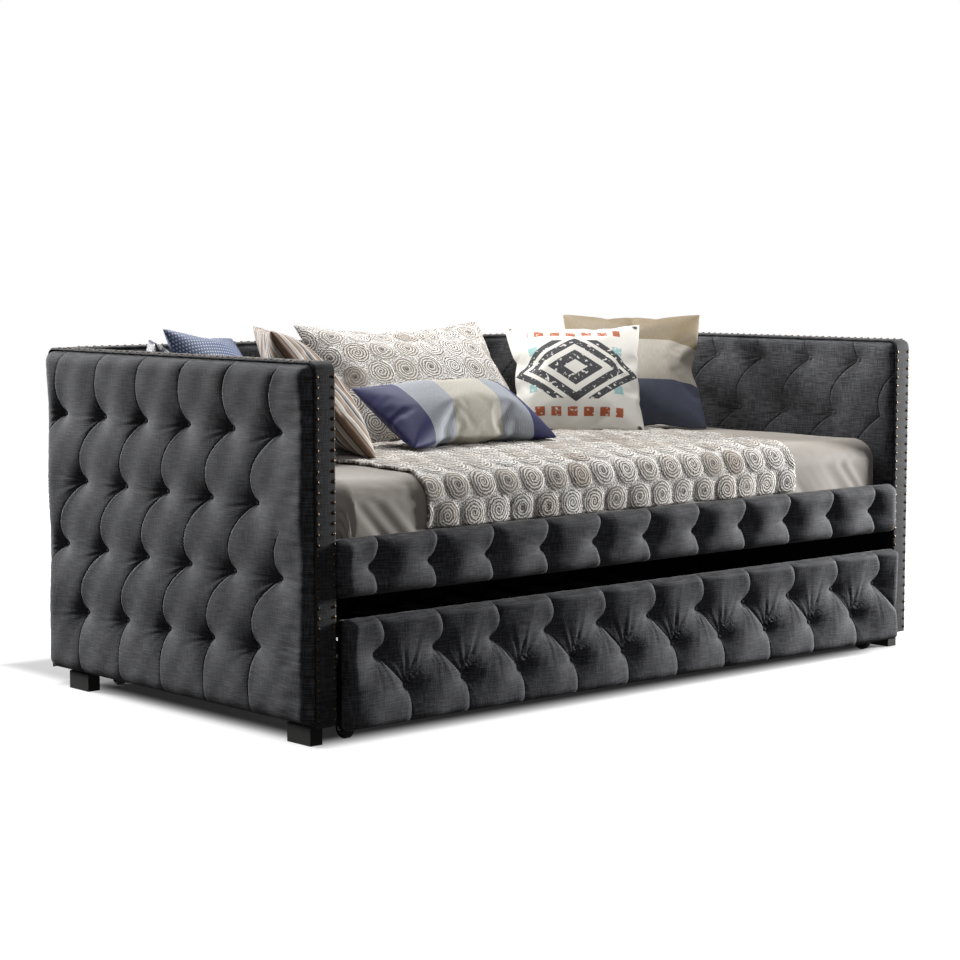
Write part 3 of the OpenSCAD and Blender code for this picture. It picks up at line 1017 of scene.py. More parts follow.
        # The outer arm pads get a painted highlight along their pleats' folded edges.
        if self.side_folds:
            self._mark_fold_highlights(piece, a, z)
        a, z = self._round_corners(a, z, left, right, low, high)
        set_points(piece, np.column_stack([a, z, height]))
        fill_back(piece, to_plane=True)
        axes = (self.facing.right, Vector((0, 0, 1)), self.facing.normal)
        turn = Matrix([[axes[c][r] for c in range(3)] for r in range(3)]).to_4x4()
        piece.data.transform(Matrix.Translation(self.facing.normal * base) @ turn)
        smooth(piece, 75)
        dress(piece, LINEN, self.body, self.name)
        return piece

    def _ring(self) -> Array:
        """Returns the grid's places over one pitch, close together at the pleat at its ends."""
        half, places, gap = self.tufting.pitch / 2, [0.0], 0.0011
        while places[-1] + gap < half:
            places.append(places[-1] + gap)
            gap = min(gap * 1.3, self.coarse)
        rising = np.array(places) * (half - self.coarse / 2) / places[-1]
        return np.concatenate([rising, 2 * half - rising[1:][::-1]])

    def _round_corners(self, a: Array, z: Array, left: float, right: float, low: float,
                       high: float) -> tuple[Array, Array]:
        """Returns the places with the pad's four square corners drawn in to round ones."""
        a, z = a.copy(), z.copy()
        for ca, sa in ((left + self.corner, -1), (right - self.corner, 1)):
            for cz, sz in ((low + self.corner, -1), (high - self.corner, 1)):
                p, q = (a - ca) * sa, (z - cz) * sz
                here = (p > 0) & (q > 0)
                keep = np.maximum(p, q) / np.maximum(np.hypot(p, q), 1e-9)
                a[here] = (ca + p * sa * keep)[here]
                z[here] = (cz + q * sz * keep)[here]
        return a, z


# ---------------------------------------------------------------------------
# Studio
# ---------------------------------------------------------------------------


@dataclass
class Studio:
    """Pale floor, soft lights and the camera."""

    eye: Vector = field(default_factory=lambda: Vector((-4.220, -4.609, 1.081)))
    yaw: float = -41.97
    pitch: float = 5.39
    lens: float = 89.5
    shade_half: tuple[float, float] = (1.10, 0.80)
    shade_middle: float = 0.20

    def camera(self) -> None:
        """Sets up the camera."""
        data = bpy.data.cameras.new("camera")
        data.lens = self.lens
        data.sensor_width = 36
        data.clip_end = 100
        made = bpy.data.objects.new("camera", data)
        made.location = self.eye
        made.rotation_euler = (math.radians(90 - self.pitch), 0, math.radians(self.yaw))
        bpy.context.scene.collection.objects.link(made)
        bpy.context.scene.camera = made

    @staticmethod
    def light(name: str, at: Vector, aim: Vector, size: tuple[float, float], watts: float) -> None:
        """Adds one rectangular soft light.

        Args:
            name: the light's name.
            at: where it stands.
            aim: the point that it faces.
            size: its width and height.
            watts: its power.
        """
        data = bpy.data.lights.new(name, "AREA")
        data.shape = "RECTANGLE"
        data.size, data.size_y = size
        data.energy = watts
        made = bpy.data.objects.new(name, data)
        made.location = at
        made.rotation_euler = (aim - at).to_track_quat("-Z", "Y").to_euler()
        bpy.context.scene.collection.objects.link(made)

    def build(self) -> None:
        """Makes the camera, lights, world and floor."""
        self.camera()
        middle = Vector((0, 0, 0.45))
        self.light("overhead", Vector((0.3, 0.9, 2.9)), middle, (2.4, 1.2), 98)
        self.light("left_window", Vector((-2.45, 4.6, 2.0)), Vector((-1, 0, 0.5)), (0.9, 1.5), 390)
        self.light("right_edge", Vector((3.8, -1.4, 1.05)), Vector((0.2, -0.5, 0.35)), (0.5, 1.1),
                   280)
        self.light("front_fill", Vector((-1.6, -3.4, 4.2)), middle, (2.0, 1.6), 24)
        world = bpy.data.worlds.new("studio")
        bpy.context.scene.world = world
        world.use_nodes = True
        tree = world.node_tree
        sky = tree.nodes["Background"]
        sky.inputs[0].default_value = (1, 1, 1, 1)
        path = tree.nodes.new("ShaderNodeLightPath")
        level = tree.nodes.new("ShaderNodeMapRange")
        level.inputs[3].default_value = 0.08
        level.inputs[4].default_value = 1.0
        tree.links.new(path.outputs["Is Camera Ray"], level.inputs[0])
        tree.links.new(level.outputs[0], sky.inputs[1])
        bpy.context.scene.view_settings.view_transform = "Standard"
        deselect()
        bpy.ops.mesh.primitive_grid_add(x_subdivisions=8, y_subdivisions=8, size=60)
        floor = bpy.context.object
        floor.name = "floor"
        floor.visible_diffuse = floor.visible_glossy = False
        shade = Shade("pale_floor")
        shade.fixed(Roughness=0.9, Emission_Strength=0.97)
        shade.shader.inputs["Base Color"].default_value = (0.35, 0.35, 0.35, 1)
        # The floor glows, so the shade under the bed is painted on it.
        x, y, _ = shade.split(shade.place())
        half_x, half_y = self.shade_half
        beyond = (x.abs() - half_x).math("MAXIMUM", (y - self.shade_middle).abs() - half_y)
        glow = shade.mix(beyond.step(-0.16, -0.01), (0.02, 0.02, 0.02), (1, 1, 1))
        shade.wire("Emission Color", glow)
        floor.data.materials.append(shade.material)


# ---------------------------------------------------------------------------
# Upholstered frame
# ---------------------------------------------------------------------------


ARM_TUFTS = Tufting(rows=(0.689, 0.526, 0.363, 0.200), pitch=0.1755, columns=6, centre=0.043)
ARM_INNER_TUFTS = Tufting(rows=(0.790, 0.640, 0.490), pitch=0.1755, columns=6, centre=0.043)
BACK_TUFTS = Tufting(rows=(0.689, 0.526, 0.363, 0.200), pitch=0.1745, columns=11)
BACK_INNER_TUFTS = Tufting(rows=(0.790, 0.640, 0.490), pitch=0.1745, columns=11)
RAIL_TUFTS = Tufting(rows=(0.390,), pitch=0.1745, columns=11, lean=0.0, bulge=0.009,
                     low_bulge=0.007, drift=0.0, lip=-1)
TRUNDLE_TUFTS = Tufting(rows=(0.193, 0.113), pitch=0.1745, columns=11, lean=1.0, ease=1.0,
                        bow=-0.06, bulge=0.014, low_bulge=0.006, drift=-0.004,
                        lip=-1)

LEDGE = 0.011
SEWN = Edge(0.030, LEDGE)
TUCKED = Edge(0.034, 0.002)
SQUARE = (SEWN, SEWN, TUCKED, SEWN)
RAIL_EDGES = (Edge(0.030, 0.004), Edge(0.030, 0.004), Edge(0.026, 0.002), Edge(0.026, 0.002))
TRUNDLE_EDGES = (Edge(0.026, 0.003), Edge(0.026, 0.003), Edge(0.018, 0.003), Edge(0.013, 0.002))


@dataclass
class Upholstery:
    """Every tufted pad of the bed."""

    pads: list[TuftedPad] = field(default_factory=lambda: [
        TuftedPad("left_arm_outer_pad", Facing.LEFT, ARM_TUFTS, "daybed", SQUARE,
                  side_folds=0.0006, proud=0.012),
        TuftedPad("right_arm_outer_pad", Facing.RIGHT, ARM_TUFTS, "daybed", SQUARE,
                  side_folds=0.0006, proud=0.012),
        TuftedPad("left_arm_inner_pad", Facing.RIGHT, ARM_INNER_TUFTS, "daybed", SQUARE,
                  proud=0.003, notch=(0.4955, 0.460, 0.010)),
        TuftedPad("right_arm_inner_pad", Facing.LEFT, ARM_INNER_TUFTS, "daybed", SQUARE,
                  proud=0.003, notch=(0.4955, 0.460, 0.010)),
        TuftedPad("back_outer_pad", Facing.REAR, BACK_TUFTS, "daybed", SQUARE, coarse=0.012,
                  proud=0.012),
        TuftedPad("back_inner_pad", Facing.FRONT, BACK_INNER_TUFTS, "daybed", SQUARE,
                  proud=0.003),
        TuftedPad("rail_pad", Facing.FRONT, RAIL_TUFTS, "daybed", RAIL_EDGES, proud=0.008,
                  mid_pleat=0.019, near_pleat=0.022, fade=0.026, roll_over=0.017, dimple=0.024,
                  wide=1.5, pull=0.0010, stitch=0.0006, coarse=0.008),
        TuftedPad("trundle_pad", Facing.FRONT, TRUNDLE_TUFTS, "trundle", TRUNDLE_EDGES,
                  mid_pleat=0.0115, near_pleat=0.021, fade=0.028, roll_over=0.020, dimple=0.035,
                  fans=(-90.0, 75.0), strength=(0.5, 1.35), one_sided=0.9, pull=0.0031,
                  stitch=0.0008, coarse=0.0045, proud=0.008),
    ])

    def build(self) -> None:
        """Makes all the pads."""
        for pad in self.pads:
            pad.build()


# ---------------------------------------------------------------------------
# Borders, nails and buttons
# ---------------------------------------------------------------------------


@dataclass(frozen=True)
class Spot:
    """A place on a surface, with the direction that the surface faces."""

    at: tuple[float, float, float]
    normal: tuple[float, float, float]


# Lines across a border band, as shares of its width, close together at its rolled edges.
BAND_LINES = np.array([0, 0.3, 0.9, 1.9, 3.4, 6, 10, 16, 22, 28.5, 35, 41, 47, 51, 53.6, 55.1, 56.1,
                       56.7, 57]) / 57
BAND_THICK = 0.0075


@dataclass
class Trim:
    """The border bands, the nail heads and the covered buttons."""

    front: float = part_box("left_arm_border")[0].y
    rear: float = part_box("left_arm_border")[1].y
    top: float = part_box("left_arm_border")[1].z
    foot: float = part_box("left_arm_border")[0].z
    inner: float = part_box("right_arm_border")[0].x
    outer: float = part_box("right_arm_border")[1].x
    corner: float = 0.024
    pitch: float = 0.023
    inset: float = 0.006

    def band_line(self, s: Array) -> tuple[Array, Array, Array, Array]:
        """Returns y, z and the outward direction at each distance along an arm's band.

        Args:
            s: distances from the foot of the rear edge, over the top, to the foot of the front.

        Returns:
            y, z, and the y and z parts of the outward direction.
        """
        r = self.corner
        rise = self.top - self.foot - r
        across = self.rear - self.front - 2 * r
        arc = math.pi / 2 * r
        bend1 = np.clip((s - rise) / arc, 0, 1) * math.pi / 2
        bend2 = np.clip((s - rise - arc - across) / arc, 0, 1) * math.pi / 2
        over = np.clip(s - rise - arc, 0, across)
        down = np.clip(s - rise - 2 * arc - across, 0, rise)
        ny = np.cos(bend1) - np.sin(bend2)
        nz = np.sin(bend1) * np.cos(bend2)
        y = self.rear - r + r * np.cos(bend1) - over - r * np.sin(bend2)
        z = self.foot + np.clip(s, 0, rise) + r * np.sin(bend1) - r * (1 - np.cos(bend2)) - down
        return y, z, ny, nz

    def length(self) -> float:
        """Returns the length of an arm's band."""
        r = self.corner
        return 2 * (self.top - self.foot - r) + math.pi * r + self.rear - self.front - 2 * r

    def front_heights(self) -> list[float]:
        """Returns the heights of the nails down an arm's front."""
        count = int((self.top - self.foot - 0.036) / self.pitch) + 1
        return [self.foot + 0.014 + i * self.pitch for i in range(count)]

    def arm_nails(self, side: int) -> list[Spot]:
        """Returns the nail places of one arm; side is -1 on the left and 1 on the right."""
        spots = [Spot((side * x, self.front, z), (0, -1, 0))
                 for x in (self.inner + self.inset, self.outer - self.inset)
                 for z in self.front_heights()]
        count = int((self.rear - self.front - 0.050) / self.pitch) + 1
        return spots + [Spot((side * (self.outer - self.inset),
                              self.front + 0.024 + i * self.pitch, self.top), (0, 0, 1))
                        for i in range(count)]

    def back_nails(self) -> list[Spot]:
        """Returns the nail places along the top of the back."""
        return [Spot((i * self.pitch, self.rear - self.inset, self.top), (0, 0, 1))
                for i in range(-41, 42)]

    def _profile(self, across: Array, along: Array, width: float) -> Array:
        """Returns how far a band's cover stands off its board.

        Args:
            across: places over the band's width.
            along: places along it.
            width: the band's width.

        Returns:
            The heights: a crown with rolled edges, a ripple, and a pinch at each nail.
        """
        edge = 0.0035
        turn = np.clip(1 - np.minimum(across, width - across) / edge, 0, 1)
        crown = 0.0007 * np.sin(np.pi * across / width) - edge * (1 - np.sqrt(1 - turn**2))
        ripple = 0.0003 * np.sin(along * 140 + 2 * np.sin(along * 17))
        near = np.exp(-((across - (width - self.inset)) / 0.006) ** 2)
        pinch = 0.0007 * near * np.cos(along * 2 * math.pi / self.pitch)
        return crown + ripple - pinch

    def arm_band(self, side: int, name: str) -> bpy.types.Object:
        """Makes one arm's border band; side is -1 on the left and 1 on the right."""
        width = self.outer - self.inner
        rows = spread([], 0, self.length(), 0.004, 0.0045, 0.01)
        piece = add_grid(name + "_band", BAND_LINES * width, rows)
        at = points_of(piece)
        across, s = at[:, 0], at[:, 1]
        y, z, ny, nz = self.band_line(s)
        off = self._profile(across, s, width)
        set_uv(piece, np.column_stack([across, s]))
        set_points(piece, np.column_stack([side * (self.inner + across), y + ny * off,
                                           z + nz * off]))
        if side > 0:
            edit(piece)
            bpy.ops.mesh.flip_normals()
            done(piece)
        finish_with(piece, "SOLIDIFY", thickness=BAND_THICK, offset=-1)
        smooth(piece, 60)
        dress(piece, LINEN_BAND_PAINTED_SHADE, "daybed", name)
        return piece

    def back_band(self) -> bpy.types.Object:
        """Makes the band along the top of the back."""
        lo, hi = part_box("back_border")
        width = hi.y - lo.y
        piece = add_grid("back_border_band", np.linspace(lo.x, hi.x, 430), BAND_LINES * width)
        at = points_of(piece)
        x, across = at[:, 0].copy(), at[:, 1].copy()
        off = self._profile(across, x, width)
        set_uv(piece, np.column_stack([x, across]))
        set_points(piece, np.column_stack([x, lo.y + across, hi.z + off]))
        finish_with(piece, "SOLIDIFY", thickness=BAND_THICK, offset=-1)
        smooth(piece, 60)
        dress(piece, LINEN_BAND_PAINTED_SHADE, "daybed", "back_border")
        return piece

    @staticmethod
    def copies(name: str, master: bpy.types.Object, spots: Sequence[Spot]) -> bpy.types.Object:
        """Copies a master onto each spot and joins the copies into one piece.

        Args:
            name: the joined piece's name.
            master: a mesh that stands on the origin and faces +Z.
            spots: where the copies go.

        Returns:
            The joined piece.
        """
        deselect()
        for k, spot in enumerate(spots):
            made = master.copy()
            made.data = master.data.copy()
            spin = Matrix.Rotation(k * 2.4, 4, "Z")
            turn = Vector(spot.normal).to_track_quat("Z", "Y").to_matrix().to_4x4()
            made.data.transform(Matrix.Translation(spot.at) @ turn @ spin)
            bpy.context.scene.collection.objects.link(made)
            made.select_set(True)
        bpy.context.view_layer.objects.active = made
        bpy.ops.object.join()
        made.name = made.data.name = name
        deselect()
        return made

    @staticmethod
    def nail_master() -> bpy.types.Object:
        """Makes one domed nail head, a few dozen faces."""
        deselect()
        bpy.ops.mesh.primitive_cylinder_add(vertices=10, radius=0.0042, depth=0.0012,
                                            location=(0, 0, 0.0004), end_fill_type="TRIFAN")
        nail = bpy.context.object
        bpy.ops.object.transform_apply(location=True)
        edit(nail)
        bpy.ops.mesh.bisect(plane_co=(0, 0, -0.0001), plane_no=(0, 0, 1), clear_inner=True)
        bpy.ops.mesh.select_all(action="DESELECT")
        done(nail)
        for vertex in nail.data.vertices:
            vertex.select = vertex.co.z > 0.0009
        hold(nail)
        bpy.ops.object.mode_set(mode="EDIT")
        bpy.ops.mesh.extrude_region_move(TRANSFORM_OT_translate={"value": (0, 0, 0.0011)})
        bpy.ops.transform.resize(value=(0.62, 0.62, 1))
        done(nail)
        at = points_of(nail)
        middle = np.hypot(at[:, 0], at[:, 1]) < 1e-5
        at[middle & (at[:, 2] > 0.0015), 2] = 0.0026
        set_points(nail, at)
        return nail

    @staticmethod
    def button_master(radius: float = 0.0082, height: float = 0.0052) -> bpy.types.Object:
        """Makes one cloth-covered button with small gathers round its rim."""
        sunk = 0.0008
        deselect()
        bpy.ops.mesh.primitive_uv_sphere_add(segments=18, ring_count=10, radius=radius)
        button = bpy.context.object
        edit(button)
        bpy.ops.mesh.bisect(plane_co=(0, 0, -sunk), plane_no=(0, 0, 1), clear_inner=True,
                            use_fill=True)
        done(button)
        at = points_of(button)
        around = np.arctan2(at[:, 1], at[:, 0])
        rim = np.clip(1 - at[:, 2] / radius, 0, 1)
        at[:, 2] = (at[:, 2] + sunk) * height / radius
        at[:, :2] *= (1 + 0.03 * np.sin(9 * around) * rim)[:, None]
        set_points(button, at)
        smooth(button)
        return button

    def pad_buttons(self, pads: Sequence[TuftedPad]) -> list[Spot]:
        """Returns the button places of the given pads."""
        spots = []
        for pad in pads:
            base = pad.span()[4]
            right, normal = pad.facing.right, pad.facing.normal
            for a, z in pad.tufting.buttons(pad.sign()):
                at = right * a + normal * (base + pad.floor - 0.0025) + Vector((0, 0, z))
                spots.append(Spot(tuple(at), tuple(normal)))
        return spots

    def build(self, upholstery: Upholstery) -> None:
        """Makes the bands, nails and buttons."""
        for side, name in ((-1, "left_arm_border"), (1, "right_arm_border")):
            self.arm_band(side, name)
        self.back_band()
        nail = self.nail_master()
        smooth(nail)
        for name, spots in (("left_arm_nails", self.arm_nails(-1)),
                            ("right_arm_nails", self.arm_nails(1)),
                            ("back_nails", self.back_nails())):
            made = self.copies(name + "_heads", nail, spots)
            dress(made, BRONZE, "daybed", name)
        bpy.data.objects.remove(nail)
        button = self.button_master()
        pads = {pad.name: pad for pad in upholstery.pads}
        groups = {
            "left_arm_buttons": ("left_arm_outer_pad", "left_arm_inner_pad"),
            "right_arm_buttons": ("right_arm_outer_pad", "right_arm_inner_pad"),
            "back_buttons": ("back_outer_pad", "back_inner_pad"),
            "rail_buttons": ("rail_pad",),
            "trundle_buttons": ("trundle_pad",),
        }
        for name, members in groups.items():
            body = "trundle" if name.startswith("trundle") else "daybed"
            spots = self.pad_buttons([pads[m] for m in members])
            made = self.copies(name + "_covered", button, spots)
            dress(made, LINEN_AS_STANDS, body, name)
        bpy.data.objects.remove(button)


@dataclass
class BoardWraps:
    """Linen carried from a front pad over the top of its board and down behind it."""

    boards: tuple = (("rail_board", "daybed"), ("trundle_board", "trundle"))
    cloth: float = 0.0016
    tail: float = 0.035

    def build(self) -> None:
        """Makes one wrap for each board."""
        for name, body in self.boards:
            lo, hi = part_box(name)
            top = hi.z + self.cloth
            line = [(lo.y - 0.004, top - 0.0006), (lo.y, top), (hi.y - 0.003, top),
                    (hi.y + 0.0002, top - 0.0012), (hi.y + self.cloth, top - 0.004),
                    (hi.y + self.cloth, hi.z - self.tail)]
            piece = add_grid(name + "_wrap", np.linspace(lo.x, hi.x, 240), np.arange(6.0))
            at = points_of(piece)
            profile = np.array(line)[np.rint(at[:, 1]).astype(int)]
            wave = 0.0003 * np.sin(at[:, 0] * 90 + 3 * np.sin(at[:, 0] * 13))
            set_points(piece, np.column_stack([at[:, 0], profile[:, 0], profile[:, 1] + wave]))
            finish_with(piece, "SOLIDIFY", thickness=self.cloth, offset=-1)
            smooth(piece, 60)
            dress(piece, LINEN_AS_STANDS, body)


# ---------------------------------------------------------------------------
# Bedding
# ---------------------------------------------------------------------------


@dataclass(frozen=True)
class Draping:
    """The form that bedding takes over the mattress.

    Attributes:
        centre: middle of the mattress.
        half: half its length and width.
        top: height of its upper edge.
        plan: radius of its corners in plan.
        edge: radius with which its top turns down.
        crown: how much higher its middle is.
    """

    centre: tuple[float, float]
    half: tuple[float, float]
    top: float
    plan: float = 0.09
    edge: float = 0.055
    crown: float = 0.020

    def reach(self, drop: float) -> tuple[float, float]:
        """Returns the half length and half width of cloth that hangs by drop below the edge."""
        turn = self.edge * (math.pi / 2 - 1) + drop
        return self.half[0] + turn, self.half[1] + turn

    def place(self, u: Array, v: Array) -> tuple[Array, Array, Array, Array, Array, Array]:
        """Lays flat cloth over the mattress.

        Args:
            u: places along the mattress, from its middle.
            v: places across it, from its middle.

        Returns:
            x, y, z, the x and y parts of the outward direction, and how far down the side it is.
        """
        hx, hy = self.half
        du = np.maximum(np.abs(u) - (hx - self.plan), 0)
        dv = np.maximum(np.abs(v) - (hy - self.plan), 0)
        reach = np.maximum(du, dv)
        size = np.maximum(np.hypot(du, dv), 1e-9)
        flat = self.plan - self.edge
        bend = np.clip((reach - flat) / self.edge, 0, math.pi / 2)
        out = np.minimum(reach, flat) + self.edge * np.sin(bend)
        down = np.maximum(reach - flat - self.edge * math.pi / 2, 0)
        nx, ny = np.sign(u) * du / size, np.sign(v) * dv / size
        x = np.sign(u) * np.minimum(np.abs(u), hx - self.plan) + nx * out
        y = np.sign(v) * np.minimum(np.abs(v), hy - self.plan) + ny * out
        rise = self.crown * (1 - (x / hx) ** 2) * (1 - (y / hy) ** 2)
        z = self.top - self.edge * (1 - np.cos(bend)) - down + rise
        side = np.sin(bend)
        return x + self.centre[0], y + self.centre[1], z, nx * side, ny * side, down


@dataclass
class Bedding:
    """The mattress, its fitted sheet and the quilt."""

    low: Vector = field(default_factory=lambda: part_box("mattress")[0])
    high: Vector = field(default_factory=lambda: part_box("mattress")[1])
    cloth: float = 0.0014
    quilt_thick: float = 0.0055
    rail_top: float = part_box("rail_pad")[1].z

    def draping(self, swell: float) -> Draping:
        """Returns the mattress's form, swollen by swell."""
        centre = ((self.low.x + self.high.x) / 2, (self.low.y + self.high.y) / 2)
        half = ((self.high.x - self.low.x) / 2 + 0.009 + swell,
                (self.high.y - self.low.y) / 2 + swell)
        return Draping(centre, half, self.high.z - 0.006 + swell, 0.062 + swell, 0.058 + swell)

    def mattress(self) -> None:
        """Makes the mattress, a crowned block with a taped edge."""
        form = self.draping(-0.003)
        u, v = (spread([], 0, end, 0.01, 0.02, 0.01)
                for end in form.reach(form.top - form.edge - self.low.z))
        piece = add_grid("mattress_block", np.concatenate([-u[:0:-1], u]),
                         np.concatenate([-v[:0:-1], v]))
        at = points_of(piece)
        x, y, z, nx, ny, down = form.place(at[:, 0], at[:, 1])
        tape = 0.002 * np.exp(-((down - 0.012) / 0.006) ** 2) * (down > 0)
        set_points(piece, np.column_stack([x + nx * tape, y + ny * tape, z]))
        fill_back(piece)
        smooth(piece, 50)
        dress(piece, TICKING, "daybed", "mattress")

    def fitted_sheet(self) -> None:
        """Makes the fitted sheet, stretched over the top and pulled into folds at the sides."""
        form = self.draping(0.0)
        reach_u, reach_v = form.reach(form.top - form.edge - self.low.z - 0.012)
        piece = add_grid("fitted_sheet_cloth", np.linspace(-reach_u, reach_u, 290),
                         np.linspace(-reach_v, reach_v, 170))
        at = points_of(piece)
        u, v = at[:, 0].copy(), at[:, 1].copy()
        x, y, z, nx, ny, down = form.place(u, v)
        side = 0.75 * np.clip(np.hypot(nx, ny), 0, 1) + 0.35 * np.clip(down / 0.10, 0, 1)
        lean = u * np.abs(ny) + v * np.abs(nx) - 0.95 * down
        fold = np.sin(lean * 71 + 2.6 * np.sin(lean * 23 + 0.7)) + 0.18 * np.sin(lean * 173 + 1.0)
        fold = fold + 0.7 * np.sin(lean * 39 + down * 26)
        push = 0.0017 * side * fold * np.where(u > 0.3, 0.5, 1.0)
        ease = 0.0016 * np.sin(u * 19 + v * 7) * np.sin(v * 13 - u * 5)
        set_uv(piece, np.column_stack([u, v]))
        set_points(piece, np.column_stack([x + nx * push, y + ny * push, z + ease * (down == 0)]))
        finish_with(piece, "SOLIDIFY", thickness=self.cloth, offset=1)
        smooth(piece)
        dress(piece, TAUPE, "daybed", "fitted_sheet")
        2 * reach_u
        2 * reach_v

    def quilt(self) -> None:
        """Makes the quilt, laid across the mattress and hung over its front and rear edges."""
        form = self.draping(0.0075)
        lo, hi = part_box("quilt")
        reach_v = form.reach(form.top - form.edge - self.rail_top - 0.002)[1]
        rows = np.linspace(-reach_v, reach_v, 212)
        columns = np.linspace(lo.x, hi.x, 224)
        piece = add_grid("quilt_cloth", columns, rows)
        at = points_of(piece)
        u, v = at[:, 0].copy(), at[:, 1].copy()
        hem = np.minimum(u - lo.x, hi.x - u)
        wander = 0.004 * np.sin(v * 43) * np.clip(1 - hem / 0.05, 0, 1)
        x, y, z, _, ny, down = form.place(u, v)
        relief = rosette_relief(u, v)
        up = np.sqrt(np.clip(1 - ny**2, 0, 1))
        sag = 0.004 * np.sin(u * 21 + 0.6) * np.clip(down / 0.06, 0, 1)
        x = u + wander
        y = y + ny * (relief + sag)
        z = z + up * relief
        set_uv(piece, np.column_stack([u, v]))
        set_points(piece, np.column_stack([x, y, z]))
        finish_with(piece, "SOLIDIFY", thickness=self.quilt_thick, offset=-1)
        smooth(piece)
        dress(piece, ROSETTE, "daybed", "quilt")
        2 * reach_v

    def build(self) -> None:
        """Makes the bedding."""
        self.mattress()
        self.fitted_sheet()
        self.quilt()


def rosette_relief(u: Array, v: Array) -> Array:
    """Returns the relief of the rosettes at flat places on the cloth, in metres.

    Args:
        u: places across the cloth.
        v: places along it.

    Returns:
        The relief.
    """
    j = np.floor(v / ROSETTE.row + 0.5)
    along = u / ROSETTE.pitch + (j % 2) * 0.5
    i = np.floor(along + 0.5)
    r = np.hypot((along - i) * ROSETTE.pitch, v - j * ROSETTE.row)
    own = np.sin(i * 12.9898 + j * 78.233) * 43758.5453
    own = own - np.floor(own)
    radius = ROSETTE.pitch / 2
    dome = np.clip(1 - (r / radius) ** 2, 0, 1) ** 0.6
    rings = np.cos(r * 2 * math.pi / 0.0145 + own * 6.28)
    pit = np.exp(-((r / 0.006) ** 2))
    return 0.0045 * dome + 0.0010 * rings * dome - 0.003 * pit * own


# ---------------------------------------------------------------------------
# Pillows
# ---------------------------------------------------------------------------


SIM_FRAMES = 26
STUFFING = {"quality": 6, "mass": 0.25, "tension_stiffness": 22, "compression_stiffness": 22,
            "shear_stiffness": 6, "bending_stiffness": 0.35, "air_damping": 3,
            "use_pressure": True}


